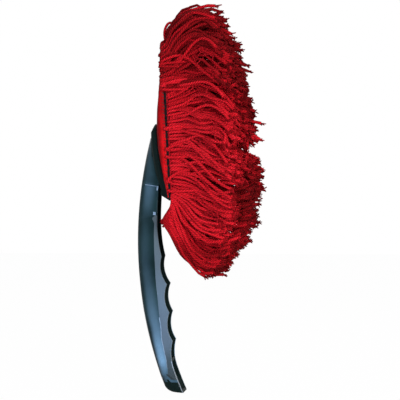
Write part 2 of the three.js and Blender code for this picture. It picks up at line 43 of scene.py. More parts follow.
# ---------------------------------------------------------------- the handle moulding
# One injection moulding in black ABS. A channel with 2 mm walls, open to the front, is bent
# along one arc. Its rims have finger grooves, a cross web and an end wall box in a recess at
# the lower end, and the upper end carries the flange and foot that hold the paddle.

MM = 0.001
CLEARANCE = 0.3  # between pieces that lie against each other
BOW_RADIUS = 307.5
GRIP_TO_BACK = 10.2
GRIP_LEAN = math.radians(9.06)
BOW_CENTRE_X = (BOW_RADIUS - GRIP_TO_BACK) * math.cos(GRIP_LEAN)
BOW_CENTRE_Z = (BOW_RADIUS - GRIP_TO_BACK) * math.sin(GRIP_LEAN)
HANDLE_HALF_WIDTH = 12.0
HANDLE_WALL = 2.0
HANDLE_END_Z = -71.2
END_BACK_CORNER = 5.0
END_EDGE_IN, END_EDGE_HEIGHT = 0.55, 0.9  # how its lower end's edge is rounded
RIM_BEVEL = 0.5
LEAST_DEPTH = 1.2  # of the channel where it runs out into the flange
NECK_END = 94.0
NECK_TOP = 129.0  # where the back has run into the flange
CAVITY_TOP = 118.0  # where the hollow between the back and the flange ends
WEB_LOWER, WEB_UPPER = -51.0, -49.0
SLOT_TOP_Z = -61.2
SLOT_HALF_WIDTH = 5.0
CRESTS = [(-35.25, 18.1), (-11.75, 20.8), (11.75, 22.4), (35.25, 20.0)]
GROOVE_DEPTH = 2.5
TAIL_START, TAIL_DEPTH = -56.25, 12.6
NECK_CURVE = [20.0, 15.9, 16.4, 14.9]  # the depth from the last crest up to the neck's end
# How far from the back the rounded part ends in a crease, from the lower end to the neck.
CREASE = [(-67.5, 12.0), (-65.5, 8.0), (-62.0, 6.8), (-55.0, 8.3), (-47.0, 9.7), (-35.0, 10.5),
          (-18.0, 12.7), (7.0, 14.0), (30.0, 14.6), (62.0, 14.4), (66.5, 12.6), (69.5, 15.2),
          (75.0, 14.6)]
LEDGE_FROM, LEDGE_TO = 92.2, 92.8
# Half the handle's width: the neck narrows upward to the ledge below the flange.
SIDES = [(58.0, HANDLE_HALF_WIDTH), (72.0, 11.5), (LEDGE_FROM, 11.0), (LEDGE_TO, HANDLE_HALF_WIDTH)]
# How full the rounded back is: an exponent across it, squarer toward the lower end.
FULLNESS = [(-62.0, 4.0), (-20.0, 3.0), (20.0, 2.2), (60.0, 2.0), (100.0, 2.3)]
INNER_FULLNESS = 2.5
SLOT_SHARE = SLOT_HALF_WIDTH / HANDLE_HALF_WIDTH
BACK_SHARES = [0, 0.21, SLOT_SHARE, 0.56, 0.68, 0.78, 0.86, 0.93, 0.982, 1.0]
INNER_SHARES = [0, 0.25, 0.5, 0.62, 0.72, 0.81, 0.88, 0.93, 0.97, 1.0]

FOOT_X, FOOT_Z = 14.1, 79.6
HEAD_LEAN = math.radians(2.7)
DOME_EDGE = 2.6
DOME_DEPTH = 9.6
DOME_PEAK = 50.0
DOME_TOP = 96.0
DOME_SHOULDER = 2.6
PAD_HALF_WIDTH = 25.0
BACK_PANEL_BOTTOM = 7.0
FLANGE_HALF_WIDTH = 16.0
FLANGE_TOP = 58.0
FLANGE_CORNER = 10.0
FLANGE_THICKNESS = 4.0
FLANGE_FOOT_THICKNESS = 5.0
FOOT_HALF_WIDTH = 14.0
FOOT_TOP = 6.7


def bow_point(along, depth, y=0.0):
    """A point by its arc length up the back and its depth from the back."""
    angle = along / BOW_RADIUS - GRIP_LEAN
    x = BOW_CENTRE_X - (BOW_RADIUS - depth) * math.cos(angle)
    return Vector((x, y, BOW_CENTRE_Z + (BOW_RADIUS - depth) * math.sin(angle)))


def bow_along(z, depth):
    """The arc length at which a depth from the back lies at a height."""
    return (math.asin((z - BOW_CENTRE_Z) / (BOW_RADIUS - depth)) + GRIP_LEAN) * BOW_RADIUS


def head_point(x, y, z):
    """A point of the head's own frame, which stands on the paddle's foot and leans back."""
    lean_cos, lean_sin = math.cos(HEAD_LEAN), math.sin(HEAD_LEAN)
    return Vector((FOOT_X + x * lean_cos - z * lean_sin, y, FOOT_Z + x * lean_sin + z * lean_cos))


def into_head(x, z):
    """How far forward and how high a point of the side view lies in the head's own frame."""
    lean_cos, lean_sin = math.cos(HEAD_LEAN), math.sin(HEAD_LEAN)
    x, z = x - FOOT_X, z - FOOT_Z
    return x * lean_cos + z * lean_sin, z * lean_cos - x * lean_sin


def between(table, value):
    """Reads a table of pairs, eased between its rows."""
    if value <= table[0][0]:
        return table[0][1]
    for (a, low), (b, high) in zip(table, table[1:]):
        if value <= b:
            t = (value - a) / (b - a)
            return low + (high - low) * t * t * (3 - 2 * t)
    return table[-1][1]


def smooth(low, high, value):
    """Eases from 0 at low to 1 at high; low may be the greater."""
    t = min(1.0, max(0.0, (value - low) / (high - low)))
    return t * t * (3 - 2 * t)


def dome_at(z):
    """How far the cloth back stands behind the paddle's middle, along the head's middle."""
    reach = DOME_PEAK - BACK_PANEL_BOTTOM if z < DOME_PEAK else DOME_TOP - DOME_PEAK
    fall = min(1.0, ((z - DOME_PEAK) / reach) ** 2)
    return DOME_EDGE + (DOME_DEPTH - DOME_EDGE) * (1 - fall)


def flange_inner(y, z):
    """The depth of the flange's front, which hugs the dome across as well as up."""
    lower = min(z, DOME_PEAK)
    share = math.sqrt(max(0.0, 1 - (abs(y) / PAD_HALF_WIDTH) ** DOME_SHOULDER))
    return DOME_EDGE + (dome_at(lower) - DOME_EDGE) * share + CLEARANCE


def flange_thickness(z):
    return FLANGE_FOOT_THICKNESS + (FLANGE_THICKNESS - FLANGE_FOOT_THICKNESS) * z / FLANGE_TOP


def flange_middle(y, z):
    return flange_inner(y, z) + flange_thickness(z) / 2


def flange_depth(along):
    """The depth from the back at which a section of the neck meets the flange's middle."""
    low, high = -4.0, 30.0
    for _ in range(40):
        depth = (low + high) / 2
        point = bow_point(along, depth)
        head_x, head_z = into_head(point.x, point.z)
        if head_x < -flange_middle(0, head_z):
            low = depth
        else:
            high = depth
    return low


def rim_depth(along):
    """The channel's depth: the straight tail, the grooves, the neck and the flange."""
    if along <= TAIL_START:
        return TAIL_DEPTH
    if along < CRESTS[0][0]:
        t = (along - TAIL_START) / (CRESTS[0][0] - TAIL_START)
        return TAIL_DEPTH + (CRESTS[0][1] - TAIL_DEPTH) * t * t
    for (a, low), (b, high) in zip(CRESTS, CRESTS[1:]):
        if along <= b:
            t = (along - a) / (b - a)
            return low + (high - low) * t - GROOVE_DEPTH * (1 - (2 * t - 1) ** 2)
    if along <= NECK_END:
        t = (along - CRESTS[-1][0]) / (NECK_END - CRESTS[-1][0])
        a, b, c, d = NECK_CURVE
        return a * (1 - t) ** 3 + 3 * b * t * (1 - t) ** 2 + 3 * c * t * t * (1 - t) + d * t ** 3
    return max(LEAST_DEPTH, flange_depth(along))


def steps(a, b, count):
    return [a + (b - a) * i / count for i in range(1, count + 1)]


# Stations are level near the lower end, and square to the back from the web on.
level_heights = [HANDLE_END_Z, -70.9, -70.1, -69.2, -67.6, -66.4, -65.2, -63.2, SLOT_TOP_Z]
FLOOR_STATION, SLOT_TOP_STATION = 3, 8
stations = [("level", z) for z in level_heights]
stations += [("blend", 0.35), ("blend", 0.7)]
WEB_LOWER_STATION = len(stations)
stations += [("square", WEB_LOWER), ("square", WEB_UPPER)]
stations += [("square", a) for a in steps(WEB_UPPER, CRESTS[0][0], 5)]
stations += [("square", a) for a in steps(CRESTS[0][0], CRESTS[-1][0], 30)]
stations += [("square", a) for a in steps(CRESTS[-1][0], 60.0, 8)]
stations += [("square", a) for a in (62.0, 64.0, 65.5, 66.5, 67.0, 67.6, 68.2, 69.0, 71.5)]
stations += [("square", a) for a in steps(74.0, LEDGE_FROM, 6)]
stations += [("square", a) for a in (92.5, LEDGE_TO, NECK_END)]
stations += [("square", a) for a in steps(NECK_END + 1, CAVITY_TOP, 8)]
CAVITY_TOP_STATION = len(stations) - 1
stations += [("square", a) for a in steps(CAVITY_TOP, NECK_TOP, 4)]


def station_along(station, depth):
    kind, value = station
    if kind == "level":
        return bow_along(value, depth)
    if kind == "blend":
        return bow_along(SLOT_TOP_Z, depth) * (1 - value) + WEB_LOWER * value
    return value


def section(station):
    """One station's outer and inner lines, from the near rim round the back to the far rim."""
    along = station_along(station, TAIL_DEPTH)
    rim = rim_depth(along)
    height = bow_point(station_along(station, 0), 0).z - HANDLE_END_Z
    start, edge_in = 0.0, 0.0
    if height < END_BACK_CORNER:
        start = END_BACK_CORNER - math.sqrt(END_BACK_CORNER ** 2 - (END_BACK_CORNER - height) ** 2)
        edge_in = END_EDGE_IN * max(0.0, 1 - height / END_EDGE_HEIGHT) ** 2
    lowest_crease = rim - RIM_BEVEL - 0.4
    crease = max(start + 1.0, min(between(CREASE, along), lowest_crease))
    floor = start + HANDLE_WALL
    inner_crease = min(max(crease, floor + 1.5), lowest_crease)
    lines = []
    for half, bevel, start, crease, shares, fullness in (
            (between(SIDES, along) - edge_in, -RIM_BEVEL, start, crease, BACK_SHARES,
             between(FULLNESS, along)),
            (HANDLE_HALF_WIDTH - HANDLE_WALL, RIM_BEVEL, floor, inner_crease, INNER_SHARES,
             INNER_FULLNESS)):
        side = [(half + bevel, rim), (half + 0.3 * bevel, rim - 0.3 * RIM_BEVEL),
                (half, rim - RIM_BEVEL), (half, (rim + crease) / 2)]
        side += [(half * share, start + (crease - start) * share ** fullness)
                 for share in reversed(shares)]
        whole = [(-y, depth) for y, depth in side] + side[-2::-1]
        lines.append([bow_point(station_along(station, d), d, y) for y, d in whole])
    return lines


def object_from(name, points, faces):
    """A new mesh object from points in millimetres, in place with its object at the origin."""
    mesh = bpy.data.meshes.new(name)
    mesh.from_pydata([tuple(p * MM) for p in points], [], faces)
    mesh.update()
    piece = bpy.data.objects.new(name, mesh)
    bpy.context.collection.objects.link(piece)
    return piece


def select_only(*pieces):
    bpy.ops.object.select_all(action="DESELECT")
    for piece in pieces:
        piece.select_set(True)
    bpy.context.view_layer.objects.active = pieces[0]


def face_outwards(piece):
    """Drops loose points and turns a closed shell's faces outwards."""
    select_only(piece)
    bpy.ops.object.mode_set(mode="EDIT")
    bpy.ops.mesh.select_all(action="SELECT")
    bpy.ops.mesh.delete_loose()
    bpy.ops.mesh.select_all(action="SELECT")
    bpy.ops.mesh.remove_doubles(threshold=0.01 * MM)
    bpy.ops.mesh.normals_make_consistent(inside=False)
    bpy.ops.object.mode_set(mode="OBJECT")


sections = [section(station) for station in stations]
LINE = len(sections[0][0])
slot_from = next(k for k in range(LINE) if abs(sections[-1][0][k].y + SLOT_HALF_WIDTH) < 0.01)
slot_to = LINE - 1 - slot_from
last = len(stations) - 1
faces = []


def outer_at(i, k):
    return 2 * i * LINE + k


def inner_at(i, k):
    return outer_at(i, k) + LINE


def has_hollow(i):
    """Whether the channel is open between station i and the next."""
    return FLOOR_STATION <= i < CAVITY_TOP_STATION and i != WEB_LOWER_STATION


def cap(at, i, first=0):
    """A wall across one of a station's two lines."""
    for k in range(first, LINE // 2):
        ring = [at(i, k), at(i, k + 1), at(i, LINE - 2 - k), at(i, LINE - 1 - k)]
        faces.append(ring if ring[1] != ring[2] else [ring[0], ring[1], ring[3]])


for i in range(last):
    in_slot = FLOOR_STATION <= i < SLOT_TOP_STATION
    for k in range(LINE - 1):
        if in_slot and slot_from <= k < slot_to:
            continue
        faces.append([outer_at(i, k), outer_at(i, k + 1), outer_at(i + 1, k + 1), outer_at(i + 1, k)])
        if has_hollow(i):
            faces.append([inner_at(i, k), inner_at(i + 1, k), inner_at(i + 1, k + 1), inner_at(i, k + 1)])
    for k in (slot_from, slot_to, 0, LINE - 1) if in_slot else (0, LINE - 1):
        faces.append([outer_at(i, k), inner_at(i, k), inner_at(i + 1, k), outer_at(i + 1, k)])
    if not has_hollow(i):
        faces.append([inner_at(i, 0), inner_at(i, LINE - 1), inner_at(i + 1, LINE - 1), inner_at(i + 1, 0)])
for i in (FLOOR_STATION, SLOT_TOP_STATION):
    for k in range(slot_from, slot_to):
        faces.append([outer_at(i, k), outer_at(i, k + 1), inner_at(i, k + 1), inner_at(i, k)])
for i in (FLOOR_STATION, WEB_LOWER_STATION, WEB_LOWER_STATION + 1, CAVITY_TOP_STATION):
    cap(inner_at, i)
for i in (0, last):
    faces.append([outer_at(i, 1), outer_at(i, 0), inner_at(i, 0), inner_at(i, LINE - 1),
                  outer_at(i, LINE - 1), outer_at(i, LINE - 2)])
    cap(outer_at, i, 1)
handle = object_from("handle_moulding", [p for lines in sections for line in lines for p in line], faces)
face_outwards(handle)

# The flange starts as a grid that is laid over the dome, its lines closer together toward its
# outline. It is then thickened backwards, which rounds its back edge.
FLANGE_ROUNDING = 4.0
FLANGE_TIP = 6.5
FLANGE_BOTTOM = 2.8
FLANGE_WIDENS_TO = 22.0
EDGE_SHARE, TIP_SHARE = 0.22, 0.12  # how thick its outline and its tip stay


def flange_half_width(z):
    if z < FLANGE_WIDENS_TO:
        widened = (z + FOOT_TOP) / (FLANGE_WIDENS_TO + FOOT_TOP)
        return FOOT_HALF_WIDTH + (FLANGE_HALF_WIDTH - FOOT_HALF_WIDTH) * widened
    over = z - (FLANGE_TOP - FLANGE_CORNER)
    if over <= 0:
        return FLANGE_HALF_WIDTH
    return FLANGE_HALF_WIDTH - FLANGE_CORNER + math.sqrt(max(0.0, FLANGE_CORNER ** 2 - over ** 2))


def flange_edge_share(y, z):
    """How thick the flange is near its outline, as a share: rounded, and slanted at its tip."""
    over_y = abs(y) - (FLANGE_HALF_WIDTH - FLANGE_CORNER)
    over_z = z - (FLANGE_TOP - FLANGE_CORNER)
    room = flange_half_width(z) - abs(y)
    if over_y > 0 and over_z > 0:
        room = FLANGE_CORNER - math.hypot(over_y, over_z)
    inside = max(0.0, min(1.0, room / FLANGE_ROUNDING))
    rounded_edge = EDGE_SHARE + (1 - EDGE_SHARE) * math.sqrt(1 - (1 - inside) ** 2)
    return min(rounded_edge, TIP_SHARE + (1 - TIP_SHARE) * (FLANGE_TOP - z) / FLANGE_TIP)


def thicken(piece, thickness, offset, share_group=""):
    """Gives a sheet its thickness, to one side of it (1 or -1) or to both (0)."""
    wall = piece.modifiers.new("wall", "SOLIDIFY")
    wall.thickness = thickness * MM
    wall.offset = offset
    wall.vertex_group = share_group
    select_only(piece)
    bpy.ops.object.modifier_apply(modifier="wall")
    face_outwards(piece)


bpy.ops.mesh.primitive_grid_add(x_subdivisions=24, y_subdivisions=36, size=2)
flange = bpy.context.object
thickness = flange.vertex_groups.new(name="thickness")
for vertex in flange.data.vertices:
    turn = (vertex.co.y + 1) / 2
    turn = turn if turn < 0.5 else 0.5 + 0.5 * math.sin((turn - 0.5) * math.pi)
    z = FLANGE_BOTTOM + (FLANGE_TOP - FLANGE_BOTTOM) * turn
    y = math.sin(vertex.co.x * math.pi / 2) * flange_half_width(z)
    vertex.co = head_point(-flange_inner(y, z), y, z) * MM
    share = flange_edge_share(y, z) * flange_thickness(z) / FLANGE_FOOT_THICKNESS
    thickness.add([vertex.index], share, "REPLACE")
backwards = 1 if flange.data.polygons[0].normal.x < 0 else -1
thicken(flange, FLANGE_FOOT_THICKNESS, backwards, "thickness")

# The foot, drawn in the side view and pulled to its width, with its sharp edges eased.
FOOT_FRONT = -1.3
back = dome_at(0) + CLEARANCE + FLANGE_FOOT_THICKNESS
foot_outline = [(FOOT_FRONT, -2.0), (FOOT_FRONT, FOOT_TOP), (-back, FOOT_TOP), (-back, 2.5)]
foot_points = [head_point(x, side * FOOT_HALF_WIDTH, z) for side in (-1, 1) for x, z in foot_outline]
foot_faces = [[0, 1, 2, 3], [7, 6, 5, 4], [0, 4, 5, 1], [1, 5, 6, 2], [2, 6, 7, 3], [3, 7, 4, 0]]
foot = object_from("foot", foot_points, foot_faces)
face_outwards(foot)
bpy.ops.object.mode_set(mode="EDIT")
bpy.ops.mesh.select_all(action="SELECT")
bpy.ops.mesh.bevel(offset=0.5 * MM, segments=2, affect="EDGES")
bpy.ops.object.mode_set(mode="OBJECT")


def combine(piece, other, operation):
    """Joins or cuts with another closed shell, which is used up."""
    modifier = piece.modifiers.new(operation, "BOOLEAN")
    modifier.operation = operation
    modifier.solver = "MANIFOLD"
    modifier.object = other
    select_only(piece)
    bpy.ops.object.modifier_apply(modifier=operation)
    bpy.data.objects.remove(other, do_unlink=True)


combine(handle, flange, "UNION")
combine(handle, foot, "UNION")
SCREW_Y, SCREW_Z = 8.0, 2.6
SCREW_HOLE_RADIUS, SCREW_HOLE_DEPTH = 1.5, 7.0
for y in (-SCREW_Y, SCREW_Y):
    centre = head_point(FOOT_FRONT - 1.7, y, SCREW_Z)
    bpy.ops.mesh.primitive_cylinder_add(
        vertices=24, radius=SCREW_HOLE_RADIUS * MM, depth=SCREW_HOLE_DEPTH * MM,
        location=centre * MM, rotation=(0, math.pi / 2 - HEAD_LEAN, 0))
    combine(handle, bpy.context.object, "DIFFERENCE")
select_only(handle)
bpy.ops.object.shade_smooth_by_angle(angle=math.radians(19))


def linear(hex_value):
    """A colour from its sRGB hex value."""
    shades = [((hex_value >> shift) & 255) / 255 for shift in (16, 8, 0)]
    return [s / 12.92 if s <= 0.04045 else ((s + 0.055) / 1.055) ** 2.4 for s in shades] + [1.0]


def fill(node, inputs):
    """Sets a node's inputs to values, or links them to sockets or to other nodes."""
    for key, value in inputs.items():
        if isinstance(value, bpy.types.Node):
            value = next(socket for socket in value.outputs if socket.enabled)
        if isinstance(value, bpy.types.NodeSocket):
            node.id_data.links.new(value, node.inputs[key])
        else:
            node.inputs[key].default_value = value


def add(tree, kind, inputs=None, stops=(), **settings):
    """Adds a node with its inputs, its settings and, if it is a ramp, its places and shades."""
    node = tree.nodes.new("ShaderNode" + kind)
    for key, value in settings.items():
        setattr(node, key, value)
    while len(stops) > 2 and len(node.color_ramp.elements) < len(stops):
        node.color_ramp.elements.new(0.5)
    for n, (place, shade) in enumerate(stops):
        element = node.color_ramp.elements[n]
        element.position = place
        element.color = linear(shade) if isinstance(shade, int) else [shade, shade, shade, 1.0]
    fill(node, inputs or {})
    return node


def new_material(name):
    """An empty node material, its tree, its Principled shader and its object coordinates."""
    material = bpy.data.materials.new(name)
    material.use_nodes = True
    tree = material.node_tree
    return material, tree, tree.nodes["Principled BSDF"], add(tree, "TexCoord").outputs["Object"]


# Moulded ABS: dyed a bluish black through. The mould is finely sparked, with a grain of about
# 0.4 mm that is drawn at 0.9 mm to show. A painted highlight makes a pale stripe along each side of
# the back, brightest low on the grip, which is also smoother there; faint flow marks and rubbed patches vary
# the gloss.
moulded_abs, tree, shader, place = new_material("moulded_black_abs")
axes = add(tree, "SeparateXYZ", {"Vector": place}).outputs
height = add(tree, "MapRange", {"Value": axes["Z"], "From Min": 95 * MM, "From Max": -65 * MM})
# Painted highlight by height, brightest low on the grip; it also makes the back smoother there.
polish_and_highlight = add(tree, "ValToRGB", {"Fac": height},
             [(0.0, 0.07), (0.02, 0.08), (0.04, 0.26), (0.11, 0.15), (0.2, 0.03), (0.42, 0.09),
              (0.6, 0.22), (0.74, 0.52), (0.81, 0.8), (0.89, 1.0), (0.96, 0.25)])
off_middle = add(tree, "Math", {0: axes["Y"]}, operation="ABSOLUTE")
highlight_middle = add(tree, "MapRange", {"Value": axes["Z"], "From Min": 30 * MM,
                                       "From Max": -25 * MM, "To Min": 8.2 * MM,
                                       "To Max": 10.4 * MM})
beside = add(tree, "Math", {0: off_middle, 1: highlight_middle}, operation="SUBTRACT")
off_highlight = add(tree, "Math", {0: beside}, operation="ABSOLUTE")
highlight_stripe = add(tree, "MapRange", {"Value": off_highlight, "From Min": 0.3 * MM, "From Max": 3.4 * MM,
                                "To Min": 1.0, "To Max": 0.0}, interpolation_type="SMOOTHSTEP")
# Where the painted highlight lies: by height, and in a stripe along each side of the back.
highlight_mask = add(tree, "Math", {0: polish_and_highlight, 1: highlight_stripe}, operation="MULTIPLY")
flow = add(tree, "TexNoise", {"Vector": place, "Scale": 1 / (22 * MM), "Detail": 3.0})
grain = add(tree, "TexNoise", {"Vector": place, "Scale": 1 / (0.9 * MM), "Detail": 2.0})
rub_and_highlight = add(tree, "TexNoise", {"Vector": place, "Scale": 1 / (9 * MM), "Detail": 5.0})
dyed = add(tree, "ValToRGB", {"Fac": flow}, [(0.3, 0x122326), (0.7, 0x21373B)])
highlight_colour = add(tree, "ValToRGB", {"Fac": flow}, [(0.3, 0x668DAC), (0.7, 0x749CBE)])
patches = add(tree, "Math", {0: rub_and_highlight, 1: -0.35, 2: 0.55}, operation="MULTIPLY_ADD")
fill(shader, {
    "Base Color": add(tree, "Mix", {"Factor": highlight_mask, "A": dyed, "B": highlight_colour}, data_type="RGBA"),
    "Roughness": add(tree, "Math", {0: polish_and_highlight, 1: -0.12, 2: patches}, operation="MULTIPLY_ADD"),
    "Specular IOR Level": add(tree, "ValToRGB", {"Fac": highlight_mask}, [(0.0, 0.03), (0.6, 0.5)]),
    "Specular Tint": linear(0xC4DCF4), "IOR": 1.52,
    "Normal": add(tree, "Bump", {"Height": grain, "Distance": 0.035 * MM})})

# The flat sides in front of the crease are left coarsely sparked for grip, with a grain of 0.8 mm.
# Their grey-blue is painted light, as lit sides look: palest on the grip down to where the little finger
# lies, darker toward both ends.
sparked_abs, tree, shader, place = new_material("sparked_black_abs")
axes = add(tree, "SeparateXYZ", {"Vector": place}).outputs
height = add(tree, "MapRange", {"Value": axes["Z"], "From Min": 75 * MM, "From Max": -60 * MM})
# Painted light: the sides' grey-blue, by height.
sides = add(tree, "ValToRGB", {"Fac": height},
            [(0.0, 0x2C3A41), (0.2, 0x475862), (0.35, 0x445664), (0.56, 0x4E6478),
             (0.72, 0x4A5E72), (0.82, 0x44586A), (0.89, 0x2A3E4A), (1.0, 0x1A292F)])
spark = add(tree, "TexNoise", {"Vector": place, "Scale": 1 / (0.8 * MM), "Detail": 3.0})
speckle = add(tree, "ValToRGB", {"Fac": spark}, [(0.35, 0.84), (0.65, 1.0)])
fill(shader, {
    "Base Color": add(tree, "Mix", {"Factor": 1.0, "A": sides, "B": speckle},
                      data_type="RGBA", blend_type="MULTIPLY"),
    "Roughness": 0.55, "Specular IOR Level": 0.3, "IOR": 1.52,
    "Normal": add(tree, "Bump", {"Height": spark, "Distance": 0.08 * MM})})

# The flange, the end block and the channel's inside come off blasted or unpolished steel, so
# the same ABS is dead matt there. It is also darker: painted shade in the channel's inside and on the end
# block, which faces down, and darker on the flange.
blasted_shaded_abs, tree, shader, place = new_material("blasted_shaded_black_abs")
blast = add(tree, "TexNoise", {"Vector": place, "Scale": 1 / (0.8 * MM), "Detail": 4.0})
fill(shader, {
    # Painted shade: darker than the moulded ABS.
    "Base Color": add(tree, "ValToRGB", {"Fac": blast}, [(0.3, 0x06110F), (0.7, 0x0D1E1D)]),
    "Roughness": 0.6, "Specular IOR Level": 0.06,
    "Normal": add(tree, "Bump", {"Height": blast, "Distance": 0.1 * MM})})

# Painted highlights: stretches of the creases, the notch and the ledge are pale, dimmer on the rim round the
# recess at the end; these edges are also smoother.
highlight_abs, tree, shader, place = new_material("highlight_edge_abs")
highlight_mottle = add(tree, "TexNoise", {"Vector": place, "Scale": 1 / (2.5 * MM), "Detail": 5.0})
rub_and_highlight = add(tree, "ValToRGB", {"Fac": highlight_mottle}, [(0.3, 0x5C7590), (0.7, 0x829CB8)])
axes = add(tree, "SeparateXYZ", {"Vector": place}).outputs
height = add(tree, "MapRange", {"Value": axes["Z"], "From Min": -46 * MM, "From Max": -54 * MM})
fill(shader, {
    "Base Color": add(tree, "Mix", {"Factor": height, "A": rub_and_highlight, "B": linear(0x4C5A66)},
                      data_type="RGBA"),
    "Roughness": 0.4})

handle.data.materials.clear()
for material in (moulded_abs, blasted_shaded_abs, highlight_abs, sparked_abs):
    handle.data.materials.append(material)
BLASTED_SHADED, HIGHLIT, SPARKED = 1, 2, 3
END_BLOCK_TOP = -63.3
CREASE_SHARE = BACK_SHARES[-2]
CAVITY_EDGE = HANDLE_HALF_WIDTH - HANDLE_WALL + 0.3
FLANGE_SKIN = 2.6  # from the flange's middle to just outside its back
FLANGE_FROM, ONLY_FLANGE_FROM = -3.0, 46.5  # heights up the head
NOTCH_FROM, NOTCH_TO, NOTCH_DEPTH = 68.6, 71.5, 15.2
# Stretches of the creases, by arc length, that get the painted highlight.
GRIP_HIGHLIGHT_FROM, GRIP_HIGHLIGHT_TO = -56.0, -14.0
NECK_HIGHLIGHT_FROM, NECK_HIGHLIGHT_TO = 88.0, 92.5
SPARKED_TO, SPARKED_SKIN = 70.0, 0.7
for polygon in handle.data.polygons:
    x, y, z = polygon.center / MM
    side = abs(y)
    head_x, head_z = into_head(x, z)
    reach = math.hypot(BOW_CENTRE_X - x, BOW_CENTRE_Z - z)
    along = (math.asin((z - BOW_CENTRE_Z) / reach) + GRIP_LEAN) * BOW_RADIUS
    depth = BOW_RADIUS - reach
    half = between(SIDES, along)
    crease = between(CREASE, along)
    skin = crease * (side / half) ** between(FULLNESS, along)
    flange_back = -flange_middle(y, head_z) - FLANGE_SKIN
    on_flange = head_z > FLANGE_FROM and depth > 2.0 and head_x > flange_back
    on_flange = on_flange or head_z > ONLY_FLANGE_FROM
    inside = side < CAVITY_EDGE and skin + 1.5 < depth and along < CAVITY_TOP
    on_crease = side > half * CREASE_SHARE and depth < crease
    on_tail_rim = along < WEB_LOWER and side > CAVITY_EDGE and depth > rim_depth(along) - RIM_BEVEL
    on_notch = NOTCH_FROM < along < NOTCH_TO and side > half * 0.925 and depth < NOTCH_DEPTH
    on_ledge = LEDGE_FROM < along < LEDGE_TO and side > half * 0.5
    in_highlight_stretch = GRIP_HIGHLIGHT_FROM < along < GRIP_HIGHLIGHT_TO or NECK_HIGHLIGHT_FROM < along < NECK_HIGHLIGHT_TO
    # Painted highlights go on the tail rim, the notch, the ledge and stretches of the creases; painted shade
    # goes on the channel's inside and the end block, and the flange is darker.
    if on_tail_rim:
        polygon.material_index = HIGHLIT
    elif on_flange or inside or z < END_BLOCK_TOP:
        polygon.material_index = BLASTED_SHADED
    elif on_notch or on_ledge or on_crease and in_highlight_stretch:
        polygon.material_index = HIGHLIT
    elif along < SPARKED_TO and side > half - SPARKED_SKIN and depth > crease:
        polygon.material_index = SPARKED
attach(handle, "handle")
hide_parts("handle")

# ---------------------------------------------------------------- the paddle and its screws
# A flat tongue of the same plastic, cut from a calendered sheet, which the cover slips onto.
# Two zinc-plated countersunk screws go through its foot into the handle.

sheet_plastic, tree, shader, place = new_material("calendered_plastic_sheet")
haircell = add(tree, "TexVoronoi", {"Vector": place, "Scale": 1 / (0.8 * MM)})
shade = add(tree, "TexNoise", {"Vector": place, "Scale": 1 / (15 * MM), "Detail": 4.0})
fill(shader, {
    "Base Color": add(tree, "ValToRGB", {"Fac": shade}, [(0.3, 0x20282E), (0.7, 0x2B353C)]),
    "Roughness": 0.6, "Specular IOR Level": 0.12,
    "Normal": add(tree, "Bump", {"Height": haircell, "Distance": 0.05 * MM})})

# Zinc plate on steel: pale bluish grey, clouded and slightly milky in its gloss.
zinc, tree, shader, place = new_material("zinc_plated_steel")
cloud = add(tree, "TexNoise", {"Vector": place, "Scale": 1 / (0.6 * MM), "Detail": 3.0})
fill(shader, {
    "Base Color": add(tree, "ValToRGB", {"Fac": cloud}, [(0.35, 0x8F969C), (0.65, 0xB9BEC2)]),
    "Roughness": add(tree, "ValToRGB", {"Fac": cloud}, [(0.3, 0.25), (0.7, 0.42)]),
    "Metallic": 1.0})
for name, material in (("paddle", sheet_plastic), ("paddle_screw_1", zinc), ("paddle_screw_2", zinc)):
    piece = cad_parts[name]
    piece.data.materials.clear()
    piece.data.materials.append(material)

# ---------------------------------------------------------------- the wadding pad
# Loose polyester fibre wadding between the lining and the cloth back, which it domes. It is
# sewn in round its edges, so it thins out toward them.

WADDING_BOTTOM, WADDING_TOP, WADDING_INSET = 13.0, 87.0, 5.0
WADDING_FRONT = 2.1  # behind the paddle's middle
UNDER_CLOTH = 1.1  # from the cloth's outside down to the wadding
PAD_TOP = 118.0
PAD_CORNER = 20.0
PAD_STRAIGHT_TOP = PAD_TOP - PAD_CORNER
CREASE_Y = 0.955  # how far across the dome its crease runs, as a share of the half width
CREASE_RISE = 0.5  # and how high, as a share of the dome's rise


def pad_half_width(z, inset=0.0):
    """Half the width of the pad's panels at a height: straight sides and round top corners."""
    over = z - PAD_STRAIGHT_TOP
    if over <= 0:
        return PAD_HALF_WIDTH - inset
    corner = PAD_CORNER - inset
    return PAD_HALF_WIDTH - PAD_CORNER + math.sqrt(max(0.0, corner ** 2 - over ** 2))


def cloth_depth(share, z):
    """The cloth back's depth behind the paddle's middle: a steep side wall, then a crown."""
    rise = dome_at(z) - DOME_EDGE
    across = abs(share)
    if across > CREASE_Y:
        climb = (1 - across) / (1 - CREASE_Y)
        return DOME_EDGE + rise * CREASE_RISE * climb ** 0.8
    return DOME_EDGE + rise * (CREASE_RISE + (1 - CREASE_RISE) * (1 - (across / CREASE_Y) ** 2.4))


def sheet_grid(name, across, up, place):
    """A grid primitive laid over a surface; place(a, b) takes both from -1 to 1 and 0 to 1."""
    bpy.ops.mesh.primitive_grid_add(x_subdivisions=across, y_subdivisions=up, size=2)
    piece = bpy.context.object
    piece.name = name
    piece.data.name = name
    for vertex in piece.data.vertices:
        vertex.co = place(vertex.co.x, (vertex.co.y + 1) / 2) * MM
    return piece


